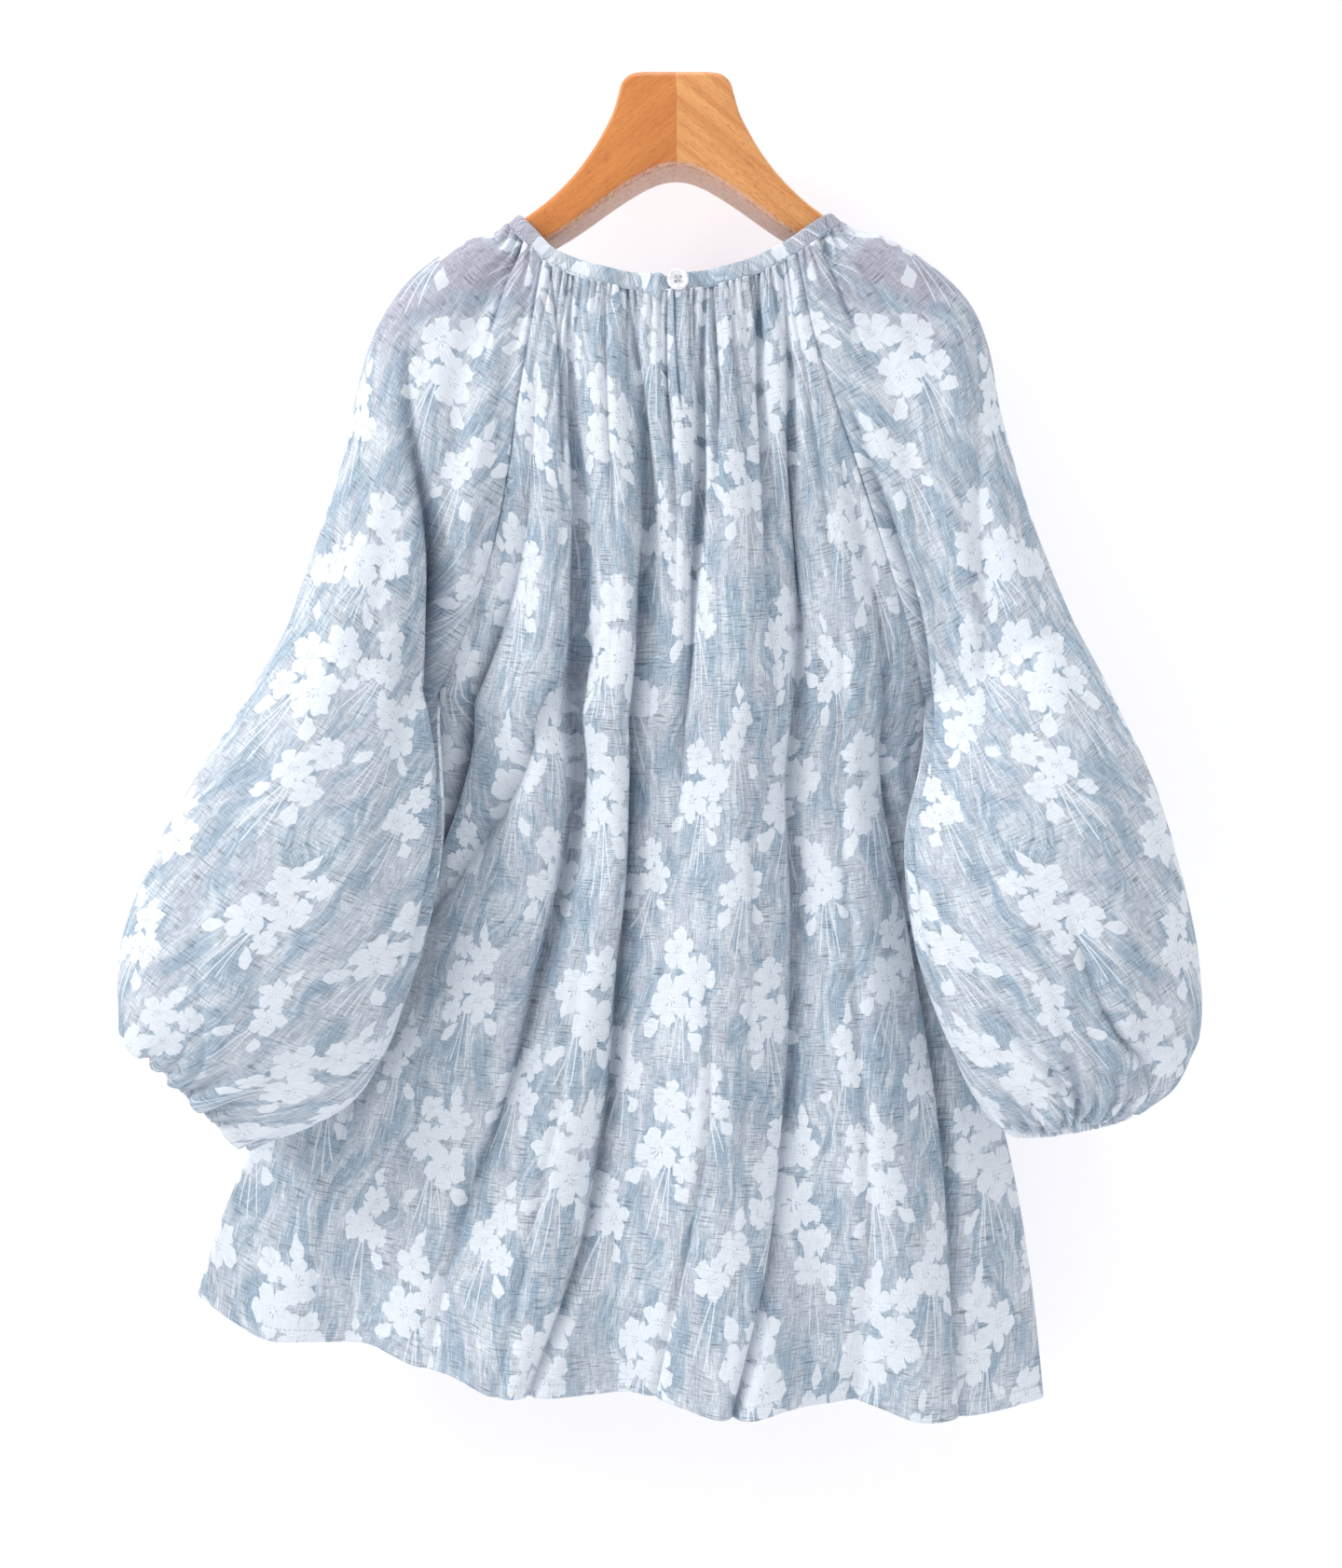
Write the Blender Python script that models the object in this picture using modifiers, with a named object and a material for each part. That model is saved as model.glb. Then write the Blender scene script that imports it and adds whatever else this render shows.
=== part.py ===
"""Loose woven blouse with raglan lantern sleeves, hung on a hanger of two glued wooden halves.

Metres, +Z up, +X to the right of someone who looks at the garment's back along +Y. The origin is the
middle of the hanger head's flat top, where the hanger is held. The back of the blouse faces -Y.

The tables and the functions that read them work in millimetres. Each mesh is scaled to metres as it
is made. Every sheet of cloth is a grid of points on its middle surface, thickened to a wall.
"""

import math

import bmesh
import bpy
import numpy as np

MM = 0.001
SHARP_ANGLE = math.radians(50)

# Cloth, in millimetres
WALL = 1.2
SEAM_GAP = 0.35
RAGLAN_INSET = 1.0
CUFF_START = 1.1
BINDING_WIDTH = 9.0
BINDING_WALL = 2.2
CUFF_WIDTH = 6.0
CUFF_WALL = 2.0
PANEL_LENGTH = 640.0

# The binding's narrow end, which runs under the button
TAB_START = 1.0
TAB_LENGTH = 5.4
TAB_TAPER = 2.0
TAB_INSET = 1.6
SHORTEST_CELL = 0.9

# The body and the sleeves run from 0 at the neck to 1 at the hem or cuff.
BODY_UNDERARM = 0.39
SLEEVE_UNDERARM = 0.5
SLIT_PLACE = 0.522
SLIT_END = 0.1
SLIT_GAP = 0.8

# Grids: cells across and down
BACK_CELLS = (34, 18)
FRONT_CELLS = (24, 14)
SLEEVE_CELLS = (20, 17)
CUFF_CELLS = 28

# Button, in millimetres
BUTTON_RADIUS = 6.25
BUTTON_THICK = 2.4
BUTTON_RIM = 0.6
BUTTON_STAND = 1.6
BUTTON_X = 1.0
BUTTON_HOLE_RADIUS = 0.9
BUTTON_HOLE_REACH = 1.75
SHANK_RADIUS = 1.2
LOOP_RADIUS = 0.45
LOOP_SLANT = 1.0

# Hanger, in millimetres
HANGER_EDGE_RADIUS = 7.0
HANGER_ARC_STEPS = 5
GLUE_GAP = 0.3


class Table:
    """Rows of named columns, read smoothly along the first column."""

    def __init__(self, columns, rows):
        self.columns = columns
        self.rows = np.array(rows, float)

    def at(self, name, place):
        """A column's value at each place, on a cubic curve through the rows."""
        stations = self.rows[:, 0]
        values = self.rows[:, self.columns.index(name)]
        slopes = np.gradient(values, stations)
        place = np.clip(place, stations[0], stations[-1])
        row = np.clip(np.searchsorted(stations, place, side="right") - 1, 0, len(stations) - 2)
        span = stations[row + 1] - stations[row]
        t = (place - stations[row]) / span
        start = (1 + 2 * t) * (1 - t) ** 2 * values[row]
        leave = t * (1 - t) ** 2 * span * slopes[row]
        end = t * t * (3 - 2 * t) * values[row + 1]
        reach = t * t * (t - 1) * span * slopes[row + 1]
        return start + leave + end + reach


# Raglan seams, from the neck binding down to the underarm
RAGLAN_COLUMNS = ("share", "x", "z", "back_y", "front_y")
RAGLAN = {
    "left": Table(
        RAGLAN_COLUMNS,
        (
            (0.00, -77, -111, -24, 24),
            (0.17, -84, -150, -25, 25),
            (0.34, -91, -191, -25, 25),
            (0.52, -97, -233, -22, 22),
            (0.70, -107, -277, -16, 17),
            (0.86, -122, -320, -8, 11),
            (1.00, -139, -358, 1.2, 2.8),
        ),
    ),
    "right": Table(
        RAGLAN_COLUMNS,
        (
            (0.00, 69, -107, -24, 24),
            (0.17, 78, -150, -25, 25),
            (0.34, 91, -192, -25, 25),
            (0.52, 106, -234, -22, 22),
            (0.70, 121, -277, -16, 17),
            (0.86, 136, -321, -8, 11),
            (1.00, 146, -361, 1.2, 2.8),
        ),
    ),
}

# Side seams, from the underarm down to the hem; they lie back behind the sleeves
SIDE_SEAM_COLUMNS = ("share", "x", "z", "y")
SIDE_SEAM = {
    "left": Table(
        SIDE_SEAM_COLUMNS,
        (
            (0.00, -139, -358, 2),
            (0.05, -139, -377, 9),
            (0.12, -143, -403, 14),
            (0.25, -157, -451, 17),
            (0.40, -183, -502, 16),
            (0.57, -214, -561, 13),
            (0.74, -245, -616, 9),
            (0.87, -265, -662, 5),
            (1.00, -280, -709, 2),
        ),
    ),
    "right": Table(
        SIDE_SEAM_COLUMNS,
        (
            (0.00, 146, -361, 2),
            (0.05, 145.5, -380, 9),
            (0.12, 148, -406, 14),
            (0.25, 158, -457, 17),
            (0.40, 171, -515, 16),
            (0.57, 187, -587, 13),
            (0.74, 201, -653, 8),
            (0.87, 209, -709, 4),
            (1.00, 215, -769, 2),
        ),
    ),
}

# How far each body panel sags below its side edges at the middle, and how far it stands out
BODY_COLUMNS = ("down", "back_sag", "front_sag", "back_out", "front_out")
BODY = Table(
    BODY_COLUMNS,
    (
        (0.00, 20, 62, 5, 4),
        (0.12, 20, 50, 7, 6),
        (0.25, 19, 36, 12, 10),
        (0.39, 18, 24, 34, 27),
        (0.55, 18, 20, 46, 22),
        (0.75, 19, 20, 44, 24),
        (1.00, 20, 22, 35, 31),
    ),
)

# Folds: the place across the panel and the depth in millimetres at five heights from top to hem,
# then the width as a share of the panel. A positive depth is a valley, a negative one a ridge.
FOLD_HEIGHTS = (0.0, 0.25, 0.5, 0.75, 1.0)
BACK_FOLDS = (
    ((0.10, 0.12, 0.13, 0.15, 0.19), (0, 1, 3, 6, 9), 0.050),
    ((0.13, 0.22, 0.295, 0.32, 0.30), (2, 8, 10, 7, 2), 0.055),
    ((0.35, 0.42, 0.456, 0.457, 0.488), (2, 7, 9, 10, 12), 0.060),
    ((0.64, 0.54, 0.53, 0.53, 0.53), (3, 5, 1, 0, 0), 0.045),
    ((0.83, 0.74, 0.72, 0.70, 0.756), (3, 9, 9, 8, 10), 0.050),
    ((0.93, 0.82, 0.81, 0.80, 0.80), (2, 6, 2, 0, 0), 0.040),
    ((0.97, 0.94, 0.92, 0.92, 0.91), (0, 1, 7, 7, 3), 0.040),
    ((0.08, 0.16, 0.20, 0.13, 0.10), (0, -3, -7, -6, -4), 0.055),
    ((0.25, 0.33, 0.37, 0.385, 0.367), (-1, -4, -5, -6, -8), 0.060),
    ((0.60, 0.63, 0.60, 0.59, 0.642), (-2, -4, -5, -7, -9), 0.070),
    ((0.90, 0.87, 0.84, 0.83, 0.858), (0, -2, -6, -7, -7), 0.050),
)
FRONT_FOLDS = (
    ((0.15, 0.17, 0.20, 0.20, 0.22), (1, 4, 6, 7, 8), 0.060),
    ((0.38, 0.36, 0.35, 0.36, 0.38), (2, 6, 7, 7, 8), 0.060),
    ((0.60, 0.58, 0.60, 0.62, 0.60), (2, 6, 8, 8, 9), 0.065),
    ((0.80, 0.80, 0.79, 0.78, 0.81), (1, 5, 6, 7, 8), 0.055),
    ((0.28, 0.27, 0.28, 0.28, 0.30), (-1, -3, -5, -6, -6), 0.060),
    ((0.50, 0.48, 0.48, 0.50, 0.49), (-1, -3, -5, -6, -7), 0.060),
    ((0.70, 0.69, 0.69, 0.70, 0.71), (-1, -3, -5, -5, -6), 0.060),
)

# The sleeves' outer silhouettes, with each turn's half depth, how square it is and how far its
# outer part comes towards the viewer
OUTER_COLUMNS = ("down", "x", "z", "depth", "square", "forward")
OUTER = {
    "left": Table(
        OUTER_COLUMNS,
        (
            (0.00, -98, -87.4, 24, 3.0, 0),
            (0.02, -104, -91.0, 24, 3.0, 0),
            (0.06, -122, -96, 25, 3.0, 0),
            (0.12, -149, -114.5, 26, 3.0, 0),
            (0.18, -166, -135, 27, 2.8, 0),
            (0.24, -178, -160, 29, 2.5, -1),
            (0.31, -187, -196, 32, 2.3, -2),
            (0.38, -196, -237, 34, 2.2, -5),
            (0.44, -208, -275, 35, 2.1, -8),
            (0.50, -222, -318, 36, 2.0, -11),
            (0.58, -243, -362, 39, 2.0, -11),
            (0.67, -272, -411, 43, 2.0, -7),
            (0.76, -297, -460, 46, 2.0, -2),
            (0.84, -310, -500, 47, 2.0, 0),
            (0.90, -312, -525, 45, 2.0, 0),
            (0.95, -310, -540, 37, 2.0, 0),
            (0.98, -306, -546, 27, 2.0, 0),
            (1.00, -302, -547, 20, 2.0, 0),
        ),
    ),
    "right": Table(
        OUTER_COLUMNS,
        (
            (0.00, 97, -86.8, 24, 3.0, 0),
            (0.02, 103, -90.4, 24, 3.0, 0),
            (0.06, 123, -95.5, 25, 3.0, 0),
            (0.12, 151, -113.5, 26, 3.0, 0),
            (0.18, 170, -133, 27, 2.8, 0),
            (0.24, 180, -157, 29, 2.5, -1),
            (0.31, 187, -194, 32, 2.3, -2),
            (0.38, 198, -238, 34, 2.2, -5),
            (0.44, 211, -277, 35, 2.1, -8),
            (0.50, 228, -318, 36, 2.0, -11),
            (0.58, 248, -363, 39, 2.0, -11),
            (0.67, 268, -410, 43, 2.0, -7),
            (0.76, 282, -460, 46, 2.0, -2),
            (0.84, 291, -505, 47, 2.0, 0),
            (0.90, 293, -540, 45, 2.0, 0),
            (0.95, 288, -562, 37, 2.0, 0),
            (0.98, 276, -583, 27, 2.0, 0),
            (1.00, 256, -593, 20, 2.0, 0),
        ),
    ),
}

# The underarm lines of the closed lower sleeves
INNER_COLUMNS = ("down", "x", "z", "y")
INNER = {
    "left": Table(
        INNER_COLUMNS,
        (
            (0.50, -140, -358, 2),
            (0.54, -139.5, -375, -8),
            (0.60, -137, -402, -18),
            (0.67, -135, -438, -29),
            (0.76, -142, -490, -40),
            (0.84, -154, -530, -44),
            (0.90, -168, -565, -45),
            (0.95, -190, -593, -44),
            (0.98, -220, -607, -43),
            (1.00, -241, -610, -42),
        ),
    ),
    "right": Table(
        INNER_COLUMNS,
        (
            (0.50, 147, -361, 2),
            (0.54, 146.5, -378, -8),
            (0.60, 142, -404, -18),
            (0.67, 133, -438, -29),
            (0.76, 135, -490, -40),
            (0.84, 145, -530, -44),
            (0.90, 158, -562, -45),
            (0.95, 171, -588, -44),
            (0.98, 183, -602, -43),
            (1.00, 193, -605, -42),
        ),
    ),
}

# The right half of the hanger: its upper and lower edges and half its depth, from the glue line to
# the end of the arm
HANGER_COLUMNS = ("station", "upper_x", "upper_z", "lower_x", "lower_z", "half_depth")
HANGER = Table(
    HANGER_COLUMNS,
    (
        (0, 0.0, 0.0, 0.0, -55.0, 19.0),
        (1, 9.0, 0.0, 3.5, -55.2, 19.0),
        (2, 18.0, 0.0, 7.0, -55.8, 19.0),
        (3, 25.0, -0.9, 10.5, -56.8, 19.0),
        (4, 29.2, -3.4, 14.0, -58.2, 19.0),
        (5, 31.8, -7.2, 17.5, -59.8, 19.0),
        (6, 33.6, -13.5, 22.0, -62.3, 19.0),
        (7, 36.6, -23.5, 28.0, -65.9, 19.0),
        (8, 41.5, -33.5, 35.0, -70.6, 18.8),
        (9, 48.0, -44.5, 43.0, -76.3, 18.5),
        (10, 56.5, -56.0, 51.5, -82.6, 17.9),
        (11, 66.0, -66.3, 60.5, -88.9, 17.2),
        (12, 78.0, -76.6, 69.5, -94.6, 16.2),
        (13, 97.0, -89.4, 87.0, -105.8, 15.4),
        (14, 122.0, -102.8, 112.5, -118.7, 15.4),
        (15, 140.0, -112.2, 132.0, -127.6, 15.4),
        (16, 148.0, -117.2, 141.5, -131.0, 14.5),
        (17, 152.5, -121.4, 148.0, -132.0, 11.5),
        (18, 154.8, -126.0, 152.4, -131.0, 7.5),
    ),
)

COLOURS = {
    "cloth": (0.42, 0.50, 0.60, 1.0),
    "binding": (0.50, 0.58, 0.67, 1.0),
    "pearl": (0.90, 0.90, 0.91, 1.0),
    "thread": (0.12, 0.14, 0.18, 1.0),
    "wood_left": (0.68, 0.26, 0.08, 1.0),
    "wood_right": (0.78, 0.38, 0.15, 1.0),
}


def clear_scene():
    """Removes every object that the file holds."""
    for thing in list(bpy.data.objects):
        bpy.data.objects.remove(thing, do_unlink=True)


def new_collection(name):
    """A collection of that name in the scene."""
    made = bpy.data.collections.new(name)
    bpy.context.scene.collection.children.link(made)
    return made


def material(name, colour, roughness):
    """A plain Principled finish."""
    made = bpy.data.materials.new(name)
    made.use_nodes = True
    shader = made.node_tree.nodes["Principled BSDF"]
    shader.inputs["Base Color"].default_value = colour
    shader.inputs["Roughness"].default_value = roughness
    shader.inputs["Metallic"].default_value = 0.0
    made.diffuse_color = colour
    return made


def mesh_object(name, points, faces, collection, finish):
    """An object from points in millimetres and faces, with its normals made to agree."""
    mesh = bpy.data.meshes.new(name)
    mesh.from_pydata((np.asarray(points, float) * MM).tolist(), [], faces)
    shape = bmesh.new()
    shape.from_mesh(mesh)
    bmesh.ops.recalc_face_normals(shape, faces=shape.faces)
    shape.to_mesh(mesh)
    shape.free()
    mesh.shade_smooth()
    mesh.materials.append(finish)
    made = bpy.data.objects.new(name, mesh)
    collection.objects.link(made)
    return made


def thicken(cloth, wall):
    """Gives an open sheet its wall, half of it on each side."""
    solid = cloth.modifiers.new("Wall", "SOLIDIFY")
    solid.thickness = wall * MM
    solid.offset = 0.0


def grid_triangles(index, left_out=()):
    """Two triangles for each cell of a grid of point numbers, without the columns left out.

    The diagonal changes from cell to cell, so that no fold leans one way."""
    faces = []
    rows, columns = index.shape
    for row in range(rows - 1):
        for column in range(columns - 1):
            if column in left_out:
                continue
            a, b = int(index[row, column]), int(index[row, column + 1])
            c, d = int(index[row + 1, column + 1]), int(index[row + 1, column])
            if (row + column) % 2:
                pair = ((a, b, c), (a, c, d))
            else:
                pair = ((a, b, d), (b, c, d))
            faces += [face for face in pair if len(set(face)) == 3]
    return faces


def used_points(points, index, faces):
    """The points that faces use, and the faces with their numbers closed up."""
    kept = np.unique(index)
    place = np.full(len(points), -1)
    place[kept] = np.arange(len(kept))
    return points[kept], [tuple(int(place[corner]) for corner in face) for face in faces]


def body_edge(down, side, panel):
    """Points on a panel's edge: down the raglan seam to the underarm, then down the side seam."""
    raglan, side_seam = RAGLAN[side], SIDE_SEAM[side]
    on_raglan = down < BODY_UNDERARM
    upper = down / BODY_UNDERARM
    lower = (down - BODY_UNDERARM) / (1 - BODY_UNDERARM)
    apart = (WALL + SEAM_GAP) / 2 * (-1 if panel == "back" else 1)
    x = np.where(on_raglan, raglan.at("x", upper), side_seam.at("x", lower))
    y = np.where(on_raglan, raglan.at(panel + "_y", upper), side_seam.at("y", lower) + apart)
    z = np.where(on_raglan, raglan.at("z", upper), side_seam.at("z", lower))
    return np.stack([x, y, z], axis=-1)


def fold_depth(across, down, folds):
    """The sum of the folds: each is a bell across the panel, centred on its own line."""
    total = np.zeros_like(across)
    for places, depths, width in folds:
        columns = ("height", "place", "depth")
        line = Table(columns, tuple(zip(FOLD_HEIGHTS, places, depths)))
        away = (across - line.at("place", down)) / width
        total += line.at("depth", down) * np.exp(-away * away)
    return total


def body_point(across, down, panel):
    """A body panel's middle surface. It runs straight between its two edges, sags in the middle by
    an arch that is squarer at the hem, stands out by a flatter arch, and has the folds added."""
    folds, out = (BACK_FOLDS, -1) if panel == "back" else (FRONT_FOLDS, 1)
    left = body_edge(down, "left", panel)
    right = body_edge(down, "right", panel)
    point = left + (right - left) * across[..., None]
    off_middle = np.abs(2 * across - 1)
    squareness = 2 + 2 * down if panel == "back" else 2.6 + 1.4 * down
    point[..., 2] -= BODY.at(panel + "_sag", down) * (1 - off_middle**squareness)
    point[..., 1] += out * BODY.at(panel + "_out", down) * (1 - off_middle**2.5)
    point[..., 1] -= out * fold_depth(across, down, folds) * (1 - off_middle**24)
    return point


def panel_grid(across, down, panel):
    """Points for every pair of across and down, kept clear of the seams."""
    start = SEAM_GAP / PANEL_LENGTH
    down = start + np.asarray(down) * (1 - start)
    left = body_edge(down, "left", panel)
    right = body_edge(down, "right", panel)
    inset = RAGLAN_INSET / np.linalg.norm(right - left, axis=-1)
    place = inset[:, None] + np.asarray(across)[None, :] * (1 - 2 * inset[:, None])
    return body_point(place, np.repeat(down[:, None], len(across), axis=1), panel)


def back_panel(collection, finish):
    """The back, with the slit's two edges apart from the binding down to the slit's end."""
    cells, rows = BACK_CELLS
    half = cells // 2
    left = np.linspace(0, SLIT_PLACE, half + 1)
    right = np.linspace(SLIT_PLACE, 1, cells - half + 1)
    down = np.concatenate([[0, SLIT_END / 2], np.linspace(SLIT_END, 1, rows - 1)])
    points = panel_grid(np.concatenate([left, right]), down, "back")
    index = np.arange(points[..., 0].size).reshape(points.shape[:2])
    slit_row = 2
    points[:slit_row, half, 0] -= SLIT_GAP / 2
    points[:slit_row, half + 1, 0] += SLIT_GAP / 2
    index[slit_row:, half + 1] = index[slit_row:, half]
    faces = grid_triangles(index, left_out=(half,))
    cloth = mesh_object("back_panel", *used_points(points.reshape(-1, 3), index, faces),
                        collection, finish)
    thicken(cloth, WALL)


def front_panel(collection, finish):
    """The front, with the lower neckline."""
    cells, rows = FRONT_CELLS
    points = panel_grid(np.linspace(0, 1, cells + 1), np.linspace(0, 1, rows + 1), "front")
    index = np.arange(points[..., 0].size).reshape(points.shape[:2])
    cloth = mesh_object("front_panel", points.reshape(-1, 3), grid_triangles(index),
                        collection, finish)
    thicken(cloth, WALL)


def sleeve_turn(down, side):
    """One turn round the sleeve, from the back seam over the outer silhouette to the front seam.

    It is a squared ellipse whose long axis runs from the seam to the silhouette. Above the
    underarm the turn is open, and starts and ends where it reaches the raglan seams' depth."""
    if down < SLEEVE_UNDERARM:
        share = down / SLEEVE_UNDERARM
        seam = [RAGLAN[side].at(name, share) for name in ("x", "z", "back_y", "front_y")]
    else:
        seam = [INNER[side].at(name, down) for name in ("x", "z", "y", "y")]
    seam_x, seam_z, back_y, front_y = seam
    outer = [OUTER[side].at(name, down) for name in OUTER_COLUMNS[1:]]
    outer_x, outer_z, depth, square, forward = outer
    share = min(1.0, (front_y - back_y) / 2 / depth)
    start = (1 - share**square) ** (1 / square)
    turn = math.pi - math.asin(share ** (square / 2))
    angle = np.linspace(-turn, turn, 241)
    along = np.sign(np.cos(angle)) * np.abs(np.cos(angle)) ** (2 / square)
    aside = np.sign(np.sin(angle)) * np.abs(np.sin(angle)) ** (2 / square)
    long_x = (outer_x - seam_x) / (1 + start)
    long_z = (outer_z - seam_z) / (1 + start)
    x = outer_x + long_x * (along - 1)
    z = outer_z + long_z * (along - 1)
    y = (back_y + front_y) / 2 + depth * aside + forward * (1 - (angle / turn) ** 2)
    return np.stack([x, y, z], axis=-1)


def even_steps(line, steps, inset):
    """Points at even distances along a line, starting and ending inset from its ends."""
    length = np.concatenate([[0], np.cumsum(np.linalg.norm(np.diff(line, axis=0), axis=1))])
    wanted = np.linspace(inset, length[-1] - inset, steps + 1)
    return np.stack([np.interp(wanted, length, line[:, axis]) for axis in range(3)], axis=-1)


def sleeve_rows():
    """Where the sleeve's rows lie: closer together over the shoulder and near the cuff."""
    rows = SLEEVE_CELLS[1]
    upper = np.linspace(0.002, SLEEVE_UNDERARM, rows // 2 + 1)
    lower = 1 - (1 - SLEEVE_UNDERARM) * (1 - np.linspace(0, 1, rows - rows // 2 + 1)) ** 1.25
    return np.concatenate([upper, lower[1:]])


def sleeve(side, collection, finish):
    """A raglan sleeve: open along both raglan seams, and a closed tube below the underarm."""
    cells = SLEEVE_CELLS[0]
    rows = sleeve_rows()
    joined = rows >= SLEEVE_UNDERARM
    points = np.stack(
        [even_steps(sleeve_turn(down, side), cells, 0 if closed else RAGLAN_INSET)
         for down, closed in zip(rows, joined)]
    )
    points[-1] -= SEAM_GAP * cuff_frame(side)[1]
    index = np.arange(points[..., 0].size).reshape(points.shape[:2])
    index[joined, -1] = index[joined, 0]
    faces = grid_triangles(index)
    cloth = mesh_object("sleeve_" + side, *used_points(points.reshape(-1, 3), index, faces),
                        collection, finish)
    thicken(cloth, WALL)


def cuff_frame(side):
    """The sleeve's last turn and the direction in which the cuff goes on from it."""
    ring = sleeve_turn(1.0, side)
    inner, outer = ring[0], ring[len(ring) // 2]
    across = (outer - inner) / np.linalg.norm(outer - inner)
    onwards = np.array([across[2], 0.0, -across[0]])
    if onwards[2] > 0:
        onwards = -onwards
    return ring, onwards


def cuff(side, collection, finish):
    """The elastic casing: a short tube that goes on from the sleeve's last turn."""
    ring, onwards = cuff_frame(side)
    turn = even_steps(ring, CUFF_CELLS, 0)
    rows = [turn + onwards * reach for reach in (CUFF_START, CUFF_WIDTH)]
    points = np.stack(rows)
    index = np.arange(points[..., 0].size).reshape(points.shape[:2])
    index[:, -1] = index[:, 0]
    faces = grid_triangles(index)
    cloth = mesh_object("cuff_" + side, *used_points(points.reshape(-1, 3), index, faces),
                        collection, finish)
    thicken(cloth, CUFF_WALL)


def neck_line():
    """The panels' neck edge from the slit round by the left shoulder and back to the slit, and at
    each of its points the direction in which the cloth would run on upwards."""
    step = 0.01
    back = np.linspace(SLIT_PLACE, 0.0, 13)
    front = np.linspace(0.0, 1.0, 15)
    back_right = np.linspace(1.0, SLIT_PLACE, 13)

    def edge(across, panel):
        start = body_point(across, np.zeros_like(across), panel)
        below = body_point(across, np.full_like(across, step), panel)
        return start, start - below

    def shoulder(side):
        start = even_steps(sleeve_turn(0.0, side), 12, 0)
        below = even_steps(sleeve_turn(step, side), 12, 0)
        return start, start - below

    left_side = shoulder("left")
    right_side = tuple(part[::-1] for part in shoulder("right"))
    stretches = [edge(back, "back"), left_side, edge(front, "front"), right_side,
                 edge(back_right, "back")]
    line = np.concatenate([stretches[0][0]] + [part[0][1:] for part in stretches[1:]])
    rise = np.concatenate([stretches[0][1]] + [part[1][1:] for part in stretches[1:]])
    along = np.gradient(line, axis=0)
    along /= np.linalg.norm(along, axis=1, keepdims=True)
    rise -= along * np.sum(rise * along, axis=1, keepdims=True)
    rise /= np.linalg.norm(rise, axis=1, keepdims=True)
    outward = np.cross(rise, along)
    return line, rise, outward


def neck_binding(collection, finish):
    """The binding strip: it rises from the neck edge, and its left end runs under the button."""
    line, rise, outward = neck_line()
    line = line + outward * (BINDING_WALL - WALL) / 2
    length = np.concatenate([[0], np.cumsum(np.linalg.norm(np.diff(line, axis=0), axis=1))])
    end = length[-1] - BUTTON_RADIUS
    tab = [TAB_START, TAB_LENGTH, TAB_LENGTH + TAB_TAPER]
    wanted = np.concatenate([tab, length[1:-1], [end]])
    wanted = np.unique(wanted[(wanted >= TAB_START) & (wanted <= end)])
    wanted = wanted[np.concatenate([[True], np.diff(wanted) > SHORTEST_CELL])]

    def spread(values):
        return np.stack([np.interp(wanted, length, values[:, axis]) for axis in range(3)], axis=-1)

    line, rise = spread(line), spread(rise)
    narrowing = np.where(wanted <= TAB_LENGTH, TAB_INSET, 0.0)[:, None]
    lower = line + rise * (SEAM_GAP + narrowing)
    upper = line + rise * (SEAM_GAP + BINDING_WIDTH - narrowing)
    points = np.stack([upper, (lower + upper) / 2, lower])
    index = np.arange(points[..., 0].size).reshape(points.shape[:2])
    strip = mesh_object("neck_binding", points.reshape(-1, 3), grid_triangles(index),
                        collection, finish)
    thicken(strip, BINDING_WALL)


def button_place():
    """The middle of the tab's front face under the button."""
    line, rise, outward = neck_line()
    middle = line[0] + rise[0] * (SEAM_GAP + BINDING_WIDTH / 2)
    place = middle + outward[0] * (BINDING_WALL - WALL / 2)
    return np.array([BUTTON_X, place[1], place[2]])


def cylinder(name, radius, length, place, vertices, collection):
    """A round bar along Y, from its radius, length and middle in millimetres."""
    bpy.ops.mesh.primitive_cylinder_add(
        vertices=vertices,
        radius=radius * MM,
        depth=length * MM,
        location=tuple(np.asarray(place) * MM),
        rotation=(math.radians(90), 0, 0),
    )
    made = bpy.context.object
    made.name = name
    made.data.shade_smooth()
    made.data.set_sharp_from_angle(angle=SHARP_ANGLE)
    for old in list(made.users_collection):
        old.objects.unlink(made)
    collection.objects.link(made)
    return made


def button(collection, cutters, pearl, thread):
    """A four-hole button on its thread shank, and the loop that passes round the shank."""
    face = button_place()
    middle = face + np.array([0, -BUTTON_STAND - BUTTON_THICK / 2, 0])
    disc = cylinder("button", BUTTON_RADIUS, BUTTON_THICK, middle, 32, collection)
    disc.data.materials.append(pearl)
    edge = disc.modifiers.new("Rounded rim", "BEVEL")
    edge.width = BUTTON_RIM * MM
    edge.segments = 2
    edge.limit_method = "ANGLE"
    for number, turn in enumerate((45, 135, 225, 315)):
        aside = BUTTON_HOLE_REACH * np.array(
            [math.cos(math.radians(turn)), 0, math.sin(math.radians(turn))]
        )
        hole = cylinder(f"button_hole_{number}", BUTTON_HOLE_RADIUS, BUTTON_THICK * 2,
                        middle + aside, 10, cutters)
        hole.hide_render = True
        hole.display_type = "WIRE"
        cut = disc.modifiers.new(f"Hole {number}", "BOOLEAN")
        cut.object = hole
        cut.solver = "EXACT"
    shank_place = face + np.array([0, -BUTTON_STAND / 2, 0])
    shank = cylinder("button_shank", SHANK_RADIUS, BUTTON_STAND - 2 * GLUE_GAP, shank_place, 16,
                     collection)
    shank.data.materials.append(thread)
    button_loop(face, collection, thread)


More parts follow.
